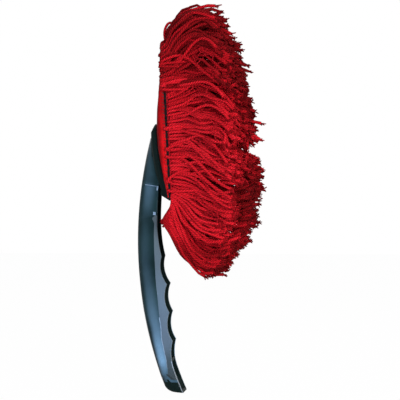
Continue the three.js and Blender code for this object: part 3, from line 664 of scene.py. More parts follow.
def wadding_place(turn, b, depth):
    """A place on the wadding's domed side, if depth is true, or on its flat one."""
    a = math.sin(turn * math.pi / 2)
    height = WADDING_TOP - WADDING_BOTTOM
    z = WADDING_BOTTOM + height * (0.5 - 0.5 * math.cos(b * math.pi))
    y = a * (PAD_HALF_WIDTH - WADDING_INSET)
    ends = min(1.0, 5 * (z - WADDING_BOTTOM) / height, 5 * (WADDING_TOP - z) / height)
    ends = math.sqrt(max(0.0, 1 - (1 - ends) ** 2)) * math.sqrt(max(0.0, 1 - a ** 4))
    if depth:
        fluff = 0.35 * (noise.noise(Vector((y, z, 3)) * 0.25) - 1)
        room = cloth_depth(y / PAD_HALF_WIDTH, z) - UNDER_CLOTH - WADDING_FRONT
        return head_point(-WADDING_FRONT - max(0.2, (room + fluff) * ends), y, z)
    return head_point(-WADDING_FRONT + 0.05 * ends, y, z)


wadding = sheet_grid("wadding_pad", 24, 40, lambda a, b: wadding_place(a, b, True))
underside = sheet_grid("underside", 24, 40, lambda a, b: wadding_place(a, b, False))
select_only(wadding, underside)
bpy.ops.object.join()
bpy.ops.object.mode_set(mode="EDIT")
bpy.ops.mesh.select_all(action="DESELECT")
bpy.ops.mesh.select_non_manifold()
bpy.ops.mesh.bridge_edge_loops()
bpy.ops.object.mode_set(mode="OBJECT")
face_outwards(wadding)
bpy.ops.object.shade_smooth()

# Carded polyester fibre: matt white, with a tangle of fine fibres drawn at 1.5 mm.
fibre_wadding, tree, shader, place = new_material("polyester_fibre_wadding")
tangle = add(tree, "TexNoise", {"Vector": place, "Scale": 1 / (1.5 * MM), "Detail": 6.0,
                                "Distortion": 2.0})
fill(shader, {
    "Base Color": add(tree, "ValToRGB", {"Fac": tangle}, [(0.3, 0xCFC9BC), (0.7, 0xF0ECE2)]),
    "Roughness": 0.95, "Sheen Weight": 0.3,
    "Normal": add(tree, "Bump", {"Height": tangle, "Distance": 0.4 * MM})})
wadding.data.materials.append(fibre_wadding)
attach(wadding, "mop_cover")
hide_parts("back_padding")

# ---------------------------------------------------------------- the cloth back and lining
# Two panels of plain-woven red cotton. The back one is cut wider, is domed by the wadding and
# folds over a crease into its steep sides. The lining behind the pocket lies flat.

CLOTH_THICKNESS = 0.6
LINING_THICKNESS = 0.25
LINING_DEPTH = 1.5
LINING_INSET = 2.0
STRIP_LENGTH = 6.5  # of the two side strips that run on down beside the paddle's foot
STRIP_FROM, STRIP_TO = 16.5, 19.0
TURNED_IN = 2.2  # how far the edge is turned in to the binding


def cloth_rows(b):
    """Heights up the panel, closer together toward the round top corners."""
    straight = 0.7
    if b < straight:
        return BACK_PANEL_BOTTOM + (PAD_STRAIGHT_TOP - BACK_PANEL_BOTTOM) * b / straight
    return PAD_STRAIGHT_TOP + PAD_CORNER * math.sin((b - straight) / (1 - straight) * math.pi / 2)


def cloth_across(a):
    """Places across the panel, closer together at the crease and the side walls."""
    crown = 0.72
    if abs(a) > crown:
        climb = min(1.0, (abs(a) - crown) / 0.2)
        return math.copysign(CREASE_Y + (1 - CREASE_Y) * climb, a)
    return a / crown * CREASE_Y


def back_cloth_place(a, b):
    z = cloth_rows(b)
    share = cloth_across(a)
    y = share * pad_half_width(z)
    depth = cloth_depth(share, z)
    strip = STRIP_LENGTH * max(0.0, 1 - b / 0.12) * smooth(STRIP_FROM, STRIP_TO, abs(y))
    z -= strip
    depth -= 0.25 * strip
    depth -= TURNED_IN * max(0.0, (abs(a) - 0.92) / 0.08)
    lift = min(1.0, (dome_at(z) - DOME_EDGE) / 2.0)
    free = min(1.0, max(0.0, (abs(y) - 15.5) / 4))
    wrinkle = 0.45 * noise.noise(Vector((y * 0.09, z * 0.16, 1.7)))
    pucker = 0.3 * math.sin(z * 1.05 + 1.5 * math.sin(z * 0.21)) * max(0.0, abs(share) - 0.8) * 5
    side = math.copysign(1.0, y) * lift * free
    y += side * (0.35 * math.sin(z * 0.9 + 1.3) * min(1.0, (1 - abs(share)) * 30))
    depth += lift * (wrinkle * (0.25 + 0.75 * free) + pucker * free * 0.6) - 0.1 * lift
    return head_point(-depth, y, z)


def lining_place(a, b):
    z = cloth_rows(b)
    depth = LINING_DEPTH - 0.1 * noise.noise(Vector((a * 4, b * 9, 0.3)))
    return head_point(-depth, a * pad_half_width(z, LINING_INSET), min(z, PAD_TOP - LINING_INSET))


back_cloth = sheet_grid("back_cloth_panel", 56, 84, back_cloth_place)
inwards = -1 if back_cloth.data.polygons[0].normal.x < 0 else 1
thicken(back_cloth, CLOTH_THICKNESS, inwards)
bpy.ops.object.shade_smooth_by_angle(angle=math.radians(60))
lining = sheet_grid("pocket_lining_panel", 16, 40, lining_place)
thicken(lining, LINING_THICKNESS, 0)
bpy.ops.object.shade_smooth_by_angle(angle=math.radians(60))

# Plain-woven cotton, piece-dyed red: matt with a soft sheen. Its threads are 0.45 mm apart,
# and are drawn 0.9 mm apart to show. Slubs make some threads a little darker. Painted shade darkens
# the crown, which faces away from the lamps, the top of the back under the yarn, and the sides down to near
# the binding.
woven_cotton, tree, shader, place = new_material("plain_woven_red_cotton")
axes = add(tree, "SeparateXYZ", {"Vector": place}).outputs
THREAD_TURN = 2 * math.pi / (0.9 * MM)
PADDLE_MIDDLE = FOOT_X + FOOT_Z * math.tan(HEAD_LEAN)
warp_turn = add(tree, "Math", {0: axes["Y"], 1: THREAD_TURN}, operation="MULTIPLY")
weft_turn = add(tree, "Math", {0: axes["Z"], 1: THREAD_TURN}, operation="MULTIPLY")
warp = add(tree, "Math", {0: warp_turn}, operation="SINE")
weft = add(tree, "Math", {0: weft_turn}, operation="SINE")
weave = add(tree, "Math", {0: warp, 1: weft}, operation="MULTIPLY")
weave_level = add(tree, "MapRange", {"Value": weave, "From Min": -1.0})
slub = add(tree, "TexNoise", {"Vector": place, "Scale": 1 / (5 * MM), "Detail": 5.0})
cotton = add(tree, "ValToRGB", {"Fac": slub}, [(0.3, 0xB20A12), (0.7, 0xD0131B)])
forward = add(tree, "Math", {0: axes["Z"], 1: math.tan(HEAD_LEAN), 2: axes["X"]},
              operation="MULTIPLY_ADD")
# Painted shade: darker toward the back of the crown, and toward the top.
crown = add(tree, "MapRange", {"Value": forward, "From Min": (PADDLE_MIDDLE - 4.8) * MM,
                               "From Max": (PADDLE_MIDDLE - 2.6) * MM, "To Min": 0.46})
top = add(tree, "MapRange", {"Value": axes["Z"], "From Min": 126 * MM, "From Max": 146 * MM,
                             "To Min": 1.0, "To Max": 0.54})
cloth_painted_shade = add(tree, "Math", {0: crown, 1: top}, operation="MINIMUM")
thread_wave = add(tree, "MapRange", {"Value": weave_level, "From Max": 0.6, "To Min": 0.72})
thread_shade = add(tree, "Math", {0: thread_wave, 1: cloth_painted_shade}, operation="MULTIPLY")
fill(shader, {
    "Base Color": add(tree, "Mix", {"Factor": 1.0, "A": cotton, "B": thread_shade},
                      data_type="RGBA", blend_type="MULTIPLY"),
    "Roughness": 0.95, "Sheen Weight": 0.02, "Sheen Roughness": 0.5, "Specular IOR Level": 0.05,
    "Normal": add(tree, "Bump", {"Height": weave_level, "Distance": 0.12 * MM})})
for cloth, node in ((back_cloth, "back_cloth"), (lining, "pocket_lining")):
    cloth.data.materials.append(woven_cotton)
    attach(cloth, "mop_cover")
    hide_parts(node)

# ---------------------------------------------------------------- the edge binding
# A black cotton tape folded round the seam between the cloth back and the yarn's canvas, and
# sewn through from both sides, which pulls it into small waves.

BINDING_OUT = 0.55  # how far it stands out past the panels' edge
BINDING_IN = 2.7
BINDING_HALF = 0.8
BINDING_FORWARD = 0.6  # from the paddle's middle to the tape's
BINDING_BOTTOM = -2.0
EDGE_POINTS = 191
WAVE = 7.5


def edge_path():
    """Points (y, z), outward directions and lengths round the pad's edge, near side first."""
    side = PAD_STRAIGHT_TOP - BINDING_BOTTOM
    arc = PAD_CORNER * math.pi / 2
    inner = PAD_HALF_WIDTH - PAD_CORNER
    total = 2 * (side + arc + inner)
    path = []
    for i in range(EDGE_POINTS):
        s = total * i / (EDGE_POINTS - 1)
        mirrored = s > total / 2
        r = total - s if mirrored else s
        if r < side:
            place, out = (-PAD_HALF_WIDTH, BINDING_BOTTOM + r), (-1.0, 0.0)
        elif r < side + arc:
            turn = (r - side) / PAD_CORNER
            out = (-math.cos(turn), math.sin(turn))
            place = (PAD_CORNER * out[0] - inner, PAD_STRAIGHT_TOP + PAD_CORNER * out[1])
        else:
            place, out = (r - side - arc - inner, PAD_TOP), (0.0, 1.0)
        if mirrored:
            place, out = (-place[0], place[1]), (-out[0], out[1])
        path.append((place, out, s))
    return path


def tube_faces(base, rings, corners):
    """The faces of a closed tube, whose rings of points start at an index."""
    tube = []
    for i in range(rings - 1):
        for k in range(corners):
            a, b = base + i * corners + k, base + i * corners + (k + 1) % corners
            tube.append([a, b, b + corners, a + corners])
    end = base + (rings - 1) * corners
    return tube + [[base + k for k in reversed(range(corners))], [end + k for k in range(corners)]]


binding_section = [(-BINDING_IN, -0.45), (-1.0, -BINDING_HALF), (0.1, -BINDING_HALF),
                   (BINDING_OUT, -0.4), (BINDING_OUT + 0.15, 0.0), (BINDING_OUT, 0.4),
                   (0.1, BINDING_HALF), (-1.0, BINDING_HALF), (-BINDING_IN, 0.45)]
path = edge_path()
points = []
for (y, z), out, s in path:
    sway = 0.2 * math.sin(s * 2 * math.pi / WAVE + 1.2 * math.sin(s * 0.17))
    swell = 0.16 * math.sin(s * 4 * math.pi / WAVE + 0.8)
    for r, x in binding_section:
        reach = r + (swell if r > 0 else 0)
        forward = BINDING_FORWARD + x + (sway if r > -2 else 0.4 * sway)
        points.append(head_point(forward, y + out[0] * reach, z + out[1] * reach))
binding = object_from("binding_tape", points, tube_faces(0, len(path), len(binding_section)))
face_outwards(binding)
bpy.ops.object.shade_smooth_by_angle(angle=math.radians(50))

# Cotton tape, vat-dyed black: matt, with fine ribs across it, drawn 0.8 mm apart to show.
ribbed_tape, tree, shader, place = new_material("ribbed_black_cotton_tape")
WAVES = 1 / (3.2 * MM)  # a wave texture's scale for waves 1 mm apart
ribs = add(tree, "TexWave", {"Vector": place, "Scale": WAVES / 0.8, "Distortion": 1.0},
           bands_direction="Z").outputs["Fac"]
dust = add(tree, "TexNoise", {"Vector": place, "Scale": 1 / (3 * MM), "Detail": 4.0})
fill(shader, {
    "Base Color": add(tree, "ValToRGB", {"Fac": dust}, [(0.3, 0x08090B), (0.75, 0x160F12)]),
    "Roughness": 0.9, "Specular IOR Level": 0.1, "Sheen Weight": 0.03,
    "Normal": add(tree, "Bump", {"Height": ribs, "Distance": 0.12 * MM})})
binding.data.materials.append(ribbed_tape)

# The stitches: short slanted loops of black thread, 2.6 mm apart, from the tape over the edge
# of the cloth.
STITCH = 2.6
STITCH_RADIUS = 0.2
STITCH_SLANT = 1.1
STITCH_REACH = 1.9
STITCH_RINGS, STITCH_SIDES = 5, 5
points, faces = [], []
for n in range(int(path[-1][2] / STITCH)):
    s = (n + 0.5) * STITCH
    i = min(len(path) - 2, int(s / path[-1][2] * (len(path) - 1)))
    (y0, z0), out, s0 = path[i]
    ahead = Vector((path[i + 1][0][0] - y0, path[i + 1][0][1] - z0)).normalized()
    faces += tube_faces(len(points), STITCH_RINGS, STITCH_SIDES)
    for step in range(STITCH_RINGS):
        t = step / (STITCH_RINGS - 1)
        proud = 0.15 + 0.45 * math.sin(math.pi * t)
        thin = STITCH_RADIUS * (0.6 if t in (0, 1) else 1.0)
        for k in range(STITCH_SIDES):
            turn = 2 * math.pi * k / STITCH_SIDES
            along_edge = s - s0 + STITCH_SLANT * t + thin * math.cos(turn)
            outward = proud + thin * math.sin(turn)
            points.append(head_point(-0.1 - STITCH_REACH * t, y0 + ahead.x * along_edge + out[0] * outward,
                                     z0 + ahead.y * along_edge + out[1] * outward))
stitches = object_from("binding_stitches", points, faces)
face_outwards(stitches)
bpy.ops.object.shade_smooth()

# Waxed cotton thread: black, with the twist of its plies as slanted ridges 0.5 mm apart.
waxed_thread, tree, shader, place = new_material("waxed_black_cotton_thread")
twist = add(tree, "TexWave", {"Vector": place, "Scale": WAVES / 0.5},
            bands_direction="DIAGONAL").outputs["Fac"]
fill(shader, {
    "Base Color": add(tree, "ValToRGB", {"Fac": twist}, [(0.2, 0x0C0D10), (0.9, 0x1E1B1D)]),
    "Roughness": 0.6,
    "Normal": add(tree, "Bump", {"Height": twist, "Distance": 0.08 * MM})})
stitches.data.materials.append(waxed_thread)
for piece in (binding, stitches):
    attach(piece, "mop_cover")
    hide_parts("edge_binding")

# ---------------------------------------------------------------- the yarn's canvas
# A panel of red cotton canvas that the yarn is tufted through. Its lower edge hangs a little
# below the pocket's mouth.

CANVAS_FRONT = 2.3
CANVAS_THICKNESS = 0.8
CANVAS_BOTTOM = -8.0
CANVAS_INSET = 0.3


def canvas_place(a, b):
    straight = 0.75
    z = CANVAS_BOTTOM + (PAD_STRAIGHT_TOP - CANVAS_BOTTOM) * b / straight
    if b >= straight:
        climb = math.sin((b - straight) / (1 - straight) * math.pi / 2)
        z = PAD_STRAIGHT_TOP + (PAD_CORNER - CANVAS_INSET) * climb
    y = a * pad_half_width(z, CANVAS_INSET)
    middle = CANVAS_FRONT - CANVAS_THICKNESS / 2
    return head_point(middle + 0.1 * noise.noise(Vector((y * 0.2, z * 0.2, 0))), y, z)


canvas = sheet_grid("yarn_canvas", 30, 70, canvas_place)
thicken(canvas, CANVAS_THICKNESS, 0)
bpy.ops.object.shade_smooth_by_angle(angle=math.radians(60))

# Cotton canvas: a coarse plain weave in dark red, its threads 1.2 mm apart.
canvas_weave, tree, shader, place = new_material("coarse_red_canvas")
threads = {"Vector": place, "Scale": WAVES / 1.2, "Distortion": 0.6}
across = add(tree, "TexWave", threads, bands_direction="Y").outputs["Fac"]
upward = add(tree, "TexWave", threads, bands_direction="Z").outputs["Fac"]
crossing = add(tree, "Math", {0: across, 1: upward}, operation="MULTIPLY")
fill(shader, {
    "Base Color": add(tree, "ValToRGB", {"Fac": crossing}, [(0.0, 0x7A0B13), (0.7, 0xB0141F)]),
    "Roughness": 0.95, "Specular IOR Level": 0.08,
    "Normal": add(tree, "Bump", {"Height": crossing, "Distance": 0.3 * MM})})
canvas.data.materials.append(canvas_weave)
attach(canvas, "mop_cover")
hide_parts("strands_bottom", "strands_lower", "strands_upper", "strands_top")

# ---------------------------------------------------------------- the yarn
# About 1,200 strands of soft three-ply cotton yarn, 2.3 mm thick and dyed red, tufted through
# the canvas in rows and cut to about 75 mm. They cling together in locks, which fall below
# the head, stand straight out from its middle or arch over its top, and fray at their ends.

YARN_RADIUS = 1.15
YARN_SIDES = 5
PLY_RADIUS = 0.42
PLY_SIDES = 3
STRAND_POINTS = 13
ROW_PITCH = 1.75
COLUMN_PITCH = 2.7
LOWEST_ROOT, ROOT_SPAN = -6.5, 122.7
ROOT_INSET = 1.5
PLY_PITCH = 7.0
# How the strands flow in the side view, from the lowest row (0) to the highest (1): how far
# forward and how high each lies where it leaves the canvas, where it bends and at its tip.
FLOW = [
    (0.00, (3, -27), (9, -63), (31, -63)),
    (0.03, (8, -22), (17, -56), (42, -50)),
    (0.06, (13, -13), (29, -42), (55, -32)),
    (0.09, (17, -3), (38, -25), (61, -17)),
    (0.14, (20, 8), (43, -9), (64, -5)),
    (0.22, (22, 20), (44, 8), (63, 6)),
    (0.34, (23, 37), (45, 27), (63, 19)),
    (0.41, (23, 46), (46, 38), (65, 27)),
    (0.46, (24, 52), (45, 48), (59, 34)),
    (0.52, (24, 60), (47, 58), (65, 43)),
    (0.65, (23, 80), (45, 84), (62, 68)),
    (0.80, (19, 107), (40, 113), (57, 96)),
    (0.92, (10, 131), (30, 147), (48, 126)),
    (1.00, (2, 143), (22, 168), (43, 142)),
]


def flow_at(w):
    """The leaving point, the bend and the tip of a row's strands, in proportion between rows."""
    for (a, *low), (b, *high) in zip(FLOW, FLOW[1:]):
        if w <= b:
            t = (w - a) / (b - a)
            return [[p + (q - p) * t for p, q in zip(m, n)] for m, n in zip(low, high)]
    return [list(point) for point in FLOW[-1][1:]]


def strand_path(root_y, root_z, t):
    """Where a strand's axis runs: forward, across and up in the head's frame."""
    w = min(1.0, max(0.0, (root_z - LOWEST_ROOT) / ROOT_SPAN))
    leave, bend, tip = flow_at(w)
    k0, k1, k2, k3 = (1 - t) ** 3, 3 * t * (1 - t) ** 2, 3 * t * t * (1 - t), t ** 3
    x = k0 * CANVAS_FRONT + k1 * leave[0] + k2 * bend[0] + k3 * tip[0]
    z = k0 * root_z + k1 * leave[1] + k2 * bend[1] + k3 * tip[1]
    side = root_y / PAD_HALF_WIDTH
    spread = 1.0 - 0.65 * (2 * w - 1) ** 2
    x -= 4.5 * side ** 4 * k1 * max(0.0, 1 - w / 0.12)
    x = CANVAS_FRONT + (x - CANVAS_FRONT) * (1 - 0.14 * side ** 2)
    z -= side ** 2 * t ** 2 * (4 * min(1.0, w / 0.2) - 7 * max(0.0, 1 - w / 0.05))
    return Vector((x, root_y * (1 + spread * t ** 1.3), z))


class Yarn:
    """The tubes of one piece of yarn, with their plies' map and the shade of each strand."""

    def __init__(self):
        self.points, self.faces, self.ply_map, self.tones = [], [], [], []

    def tube(self, path, radius, tone, sides=YARN_SIDES):
        """Adds a tube, whose radius is one for all of its path or a list of them."""
        self.faces += tube_faces(len(self.points), len(path), sides)
        up = Vector((0.3, 0.9, 0.2)).normalized()
        length = 0.0
        for i, centre in enumerate(path):
            ahead = (path[min(i + 1, len(path) - 1)] - path[max(i - 1, 0)]).normalized()
            up = (up - ahead * up.dot(ahead)).normalized()
            across = ahead.cross(up)
            thick = radius[i] if isinstance(radius, list) else radius
            low = length / PLY_PITCH
            if i:
                length += (centre - path[i - 1]).length
            high = length / PLY_PITCH
            for k in range(sides):
                turn = 2 * math.pi * k / sides
                self.points.append(centre + (up * math.cos(turn) + across * math.sin(turn)) * thick)
                self.tones.append(tone)
                if i:
                    u, v = k / sides, (k + 1) / sides
                    self.ply_map.append([(u, low), (v, low), (v, high), (u, high)])
        for ring in (range(sides - 1, -1, -1), range(sides)):
            self.ply_map.append([(k / sides, 0.0) for k in ring])

    def to_object(self, name):
        piece = object_from(name, [head_point(*p) for p in self.points], self.faces)
        plies = piece.data.uv_layers.new(name="plies")
        plies.data.foreach_set("uv", [value for face in self.ply_map for pair in face for value in pair])
        # Painted shade: the yarn is darker toward the mop's underside, where strands hang together.
        shades = [tone - 0.42 * smooth(-26, -42, point.z)
                  for tone, point in zip(self.tones, self.points)]
        piece.data.attributes.new("tone", "FLOAT", "POINT").data.foreach_set("value", shades)
        piece.data.polygons.foreach_set("use_smooth", [True] * len(self.faces))
        return piece


def row_height(u):
    """Rows lie closest together along the lower edge and near the top, where strands fan out."""
    dense, dense_share = 0.3, 0.12
    if u < dense:
        return LOWEST_ROOT + ROOT_SPAN * dense_share * u / dense
    t = (u - dense) / (1 - dense)
    t += 0.12 * math.sin(math.pi * t) / math.pi
    return LOWEST_ROOT + ROOT_SPAN * (dense_share + (1 - dense_share) * t)


rng = random.Random(11)
LOCK_ROWS, LOCK_WIDTH = 11, 9.5
PARTING_Z = 35.5  # where the cut ends part into an upper and a lower clump
locks = []
for row in range(LOCK_ROWS):
    for column in range(-3, 4):
        u = (row + 0.5 + rng.uniform(-0.3, 0.3)) / LOCK_ROWS
        locks.append({
            "u": u,
            "z": row_height(u),
            "y": (column + 0.5 * (row % 2) + rng.uniform(-0.3, 0.3)) * LOCK_WIDTH,
            "drift": Vector((rng.gauss(0, 2.0), rng.gauss(0, 2.6), rng.gauss(0, 2.8))),
            "wave": rng.uniform(1.0, 3.8),
            "turn": rng.uniform(0, 2 * math.pi),
            "cut": rng.uniform(-0.065, 0.03),
            "tone": rng.gauss(0, 0.14),
        })


# How far back yarn may lie: in front of the paddle, beside it and beyond the cover's edge.
FRONT_LIMIT, SIDE_LIMIT, EDGE_LIMIT = 1.6, -1.2, -4.0
PADDLE_SIDE, COVER_SIDE = 21.5, 24.5


def clear_of_slide(point, radius):
    """Keeps yarn forward of the paddle, so that it misses the handle as the cover slides."""
    least = FRONT_LIMIT + radius
    if abs(point.y) > PADDLE_SIDE:
        least = SIDE_LIMIT
    if abs(point.y) > COVER_SIDE or point.z > PAD_TOP:
        least = EDGE_LIMIT
    point.x = max(point.x, least)
    return point


def fray(yarn, path, count, tone):
    """The plies of a cut end, which untwist and splay."""
    ahead = (path[-1] - path[-3]).normalized()
    for _ in range(count):
        splay = Vector((rng.gauss(0, 1), rng.gauss(0, 1), rng.gauss(0, 1))) * 0.5
        length = rng.uniform(1.4, 3.6)
        start = path[-1] - ahead * 1.6
        bend = path[-1] + ahead * length * 0.35 + splay * 1.1
        end = bend + (ahead + splay * 1.3).normalized() * length * 0.6
        # Painted shade: the frayed plies are darker than their strand.
        yarn.tube([start, bend, end], [0.62, 0.6, PLY_RADIUS], tone - 0.3 + rng.gauss(0, 0.15),
                  PLY_SIDES)


def grow_strand(yarn, root_y, root_z, u):
    """One strand, from its root to its frayed end, as part of the lock that it lies nearest."""
    lock = min(locks, key=lambda c: (
        ((c["u"] - u) * LOCK_ROWS) ** 2 + ((c["y"] - root_y) / LOCK_WIDTH) ** 2))
    below = smooth(0.08, 0.16, u) * smooth(0.5, 0.4, u)
    # Painted shade: the upper rows are darker, and so are the strands in the middle of each row, most in the
    # lower middle rows; the outer ones are a little lighter.
    tone = lock["tone"] + rng.gauss(0, 0.2) - 0.68 * smooth(0.52, 0.8, u)
    tone += 0.1 - (0.4 + 0.4 * below) * smooth(20.0, 10.0, abs(root_y))
    reach = min(1.03, 0.97 + lock["cut"] + rng.gauss(0, 0.022))
    reach -= (0.06 - 1.5 * lock["cut"]) * below * smooth(6.0, 14.0, -root_y)
    cling = rng.uniform(0.25, 0.6)
    wild = 3.0 if rng.random() < 0.07 and 0.3 < u < 0.85 else 1.0
    calm = 0.45 + 0.55 * smooth(0.1, 0.35, u)
    stray = Vector((rng.gauss(0, 1.2), rng.gauss(0, 1.6), rng.gauss(0, 2.2))) * wild * calm
    flop = Vector((rng.gauss(0, 1.5), rng.gauss(0, 2.5), rng.gauss(0, 3.2))) * calm
    curl, curl_turn = rng.uniform(0.5, 1.3), rng.uniform(0, 2 * math.pi)
    bulge = rng.uniform(0.8, 3.0) if abs(root_y) > pad_half_width(root_z) - 4.0 else 0.0
    cover = smooth(70, 94, root_z)
    if bulge or root_z > 112:
        bulge += cover * rng.uniform(1.5, 3.2)
    path, radii = [], []
    for i in range(STRAND_POINTS):
        share = i / (STRAND_POINTS - 1)
        t = reach * share ** 1.35
        here = strand_path(root_y, root_z, t)
        middle = strand_path(lock["y"], lock["z"], t)
        pull = cling * smooth(0.1, 0.75, t) * (1 - 0.35 * smooth(0.8, 1.0, t))
        here = here.lerp(middle, pull) + lock["drift"] * calm * t ** 1.4 + stray * t
        here += flop * smooth(0.6, 1.05, t)
        swing = lock["wave"] * math.sin(5.2 * t + lock["turn"]) * smooth(0.05, 0.5, t)
        wobble = curl * math.sin(15 * t + curl_turn) * smooth(0.05, 0.3, t)
        here += Vector((0.25 * wobble, 0.6 * swing + 0.5 * wobble, 0.8 * swing + wobble))
        here.y += math.copysign(bulge, root_y) * math.exp(-((t - 0.04) / 0.07) ** 2)
        here.x -= (0.5 + 0.75 * cover) * bulge * math.exp(-((t - 0.03) / 0.03) ** 2)
        here.x -= 8 * math.exp(-((here.z - PARTING_Z) / 4.5) ** 2) * smooth(0.65, 1.0, t)
        thick = YARN_RADIUS * (1 + 0.08 * math.sin(9 * t + curl_turn))
        path.append(clear_of_slide(here, thick) if i else here)
        radii.append(thick * (1 + 0.18 * smooth(0.86, 0.97, share)))
    yarn.tube(path, radii, tone)
    fray(yarn, path, 6, tone)
    return path


def yarn_top_shade(z):
    """How much painted shade darkens the upper yarn."""
    return 0.6 * smooth(70, 105, z)


def rounded(places, count):
    """A smooth path through a few places."""
    places = [Vector(place) for place in places]
    path = []
    ends = [places[0]] + places + [places[-1]]
    for i in range(count):
        s = i / (count - 1) * (len(places) - 1)
        n = min(int(s), len(places) - 2)
        t = s - n
        a, b, c, d = ends[n:n + 4]
        path.append(0.5 * (2 * b + (c - a) * t + (2 * a - 5 * b + 4 * c - d) * t * t
                           + (3 * b - a - 3 * c + d) * t ** 3))
    return path


GROUPS = ["strands_bottom", "strands_lower", "strands_upper", "strands_top"]
yarns = [Yarn() for _ in GROUPS]
lowest_yarn, top_yarn = yarns[0], yarns[-1]
outer_strands = []


def yarn_at(share):
    """The group that a root belongs to, by its share of the way up."""
    return yarns[min(len(yarns) - 1, int(len(yarns) * share))]


row_total = round(ROOT_SPAN / ROW_PITCH) + 1
for row in range(row_total):
    u = row / (row_total - 1)
    root_z = row_height(u)
    usable = pad_half_width(root_z) - ROOT_INSET
    gaps = int(2 * usable / COLUMN_PITCH) - (row % 2)
    yarn = yarn_at(row / row_total)
    for i in range(gaps + 1):
        root_y = (i - gaps / 2) * COLUMN_PITCH + rng.uniform(-0.8, 0.8)
        strand = grow_strand(yarn, root_y, root_z + rng.uniform(-0.9, 0.9), u)
        if abs(root_y) > usable - 6:
            outer_strands.append((yarn, strand))

# At the panel's edge the yarn is looped back over the binding before it turns forward: loop by
# loop round the top, and only here and there lower down.
for (edge_y, edge_z), (out_y, out_z), s in edge_path():
    cover = smooth(74, 94, edge_z)
    if edge_z < LOWEST_ROOT + 4 or rng.random() > 0.07 + 0.55 * cover:
        continue
    back = rng.uniform(0.6, 1.6) + 1.4 * cover
    proud = rng.uniform(0.9, 1.9)
    slip = rng.gauss(0.6, 1.4)
    ahead = rng.uniform(0.8, 1.7)
    outline = [(2.2, -1.5, 0), (0.4, 0.9, 0), (0.3 - back, proud, 0.2),
               (1.2 - back, proud + 1.3, 0.5), (2.8, proud + 1.5, slip),
               (8 * ahead, proud + 1.0, 2 * slip), (14 * ahead, proud - 1, 2.2 * slip)]
    path = rounded([(x, edge_y + out_y * r, edge_z + out_z * r + lift) for x, r, lift in outline], 12)
    # Painted shade darkens the loops toward the top.
    tone = rng.gauss(0.0, 0.2) - yarn_top_shade(edge_z)
    yarn_at((edge_z - LOWEST_ROOT) / ROOT_SPAN).tube(path, YARN_RADIUS, tone)

# Loops of yarn that stand up from the top, and a tuft that the lower edge has pushed back.
for places in (
        [(1.5, -5, 117), (-0.2, -6, 126), (0.8, -6.5, 132), (4.0, -7, 136), (8.5, -8, 134.5), (12, -9, 129)],
        [(2.0, -1, 117), (0.8, -1.5, 127), (3.5, -2, 133.5), (8.0, -3, 134), (12, -4, 128)],
        [(2.0, 6, 117), (1.0, 6, 125), (4.0, 5, 131), (9.0, 4, 130), (13, 3, 125)]):
    top_yarn.tube(rounded(places, 14), 1.1, rng.gauss(-0.2, 0.1))
for n in range(9):
    y = -24.5 + rng.uniform(-0.5, 1.0)
    drop = 0.7 * n
    path = rounded([(2.4, y, -5), (0.3, y, -9 - 0.2 * drop), (-3.0, y, -12.5 - 0.5 * drop),
                    (-5.4 + 0.3 * drop, y + 0.3, -16.2 - 0.7 * drop)], 10)
    lowest_yarn.tube(path, YARN_RADIUS, rng.gauss(0, 0.15))
    fray(lowest_yarn, path, 4, 0.0)

# Strands of the lowest row that hang down along the head's two lower corners. They stay beside
# the paddle's width until they are forward of it.
for n in range(26):
    side = -1 if n % 2 else 1
    y = side * (25.3 - 0.09 * n)
    sag = 0.42 * n + rng.uniform(-0.6, 0.6)
    sway, turn = rng.uniform(0.4, 1.0), rng.uniform(0, 2 * math.pi)
    places = [(2.4, y, -5.5), (-2.4 + 0.35 * sag, y, -12), (-4.6 + 0.65 * sag, y, -19),
              (-1.4 + 0.8 * sag, y, -27), (3.0 + 0.85 * sag, y, -35.5),
              (8.5 + 0.9 * sag, y - side * 1.5, -45 + 0.2 * sag),
              (15 + sag, y - side * 3, -52 + 0.3 * sag), (22 + sag, y - side * 5, -56 + 0.5 * sag)]
    path = rounded(places[:7 if n < 10 else 8], 16)
    for i, here in enumerate(path):
        here.x += sway * math.sin(0.8 * i + turn) * min(1.0, i / 5)
        here.z += 0.6 * sway * math.sin(0.65 * i + 2 * turn)
    lowest_yarn.tube(path, YARN_RADIUS, rng.gauss(-0.35, 0.28))
    fray(lowest_yarn, path, 5, 0.0)

# Some strands on both sides have fallen across the others.
for n in range(24):
    side = 1 if n % 3 == 0 else -1
    root_z = rng.uniform(18, 100)
    drop = rng.uniform(6, 20) * (1 if rng.random() < 0.7 else -0.6)
    sway, turn = rng.uniform(1.5, 3.2), rng.uniform(0, 2 * math.pi)
    path = []
    for i in range(14):
        t = 0.93 * i / 13
        here = strand_path(side * 22.5, root_z, t)
        here += Vector((-3 * t, side * 2.6 * smooth(0.05, 0.35, t), -drop * smooth(0.12, 1.0, t)))
        here.z += sway * math.sin(7 * t + turn) * smooth(0.05, 0.4, t)
        path.append(clear_of_slide(here, YARN_RADIUS) if i else here)
    yarn = yarn_at((root_z - LOWEST_ROOT) / ROOT_SPAN)
    # Painted shade darkens the fallen strands toward the top.
    tone = rng.gauss(0.08, 0.15) - yarn_top_shade(root_z)
    yarn.tube(path, YARN_RADIUS, tone)
    fray(yarn, path, 5, tone)

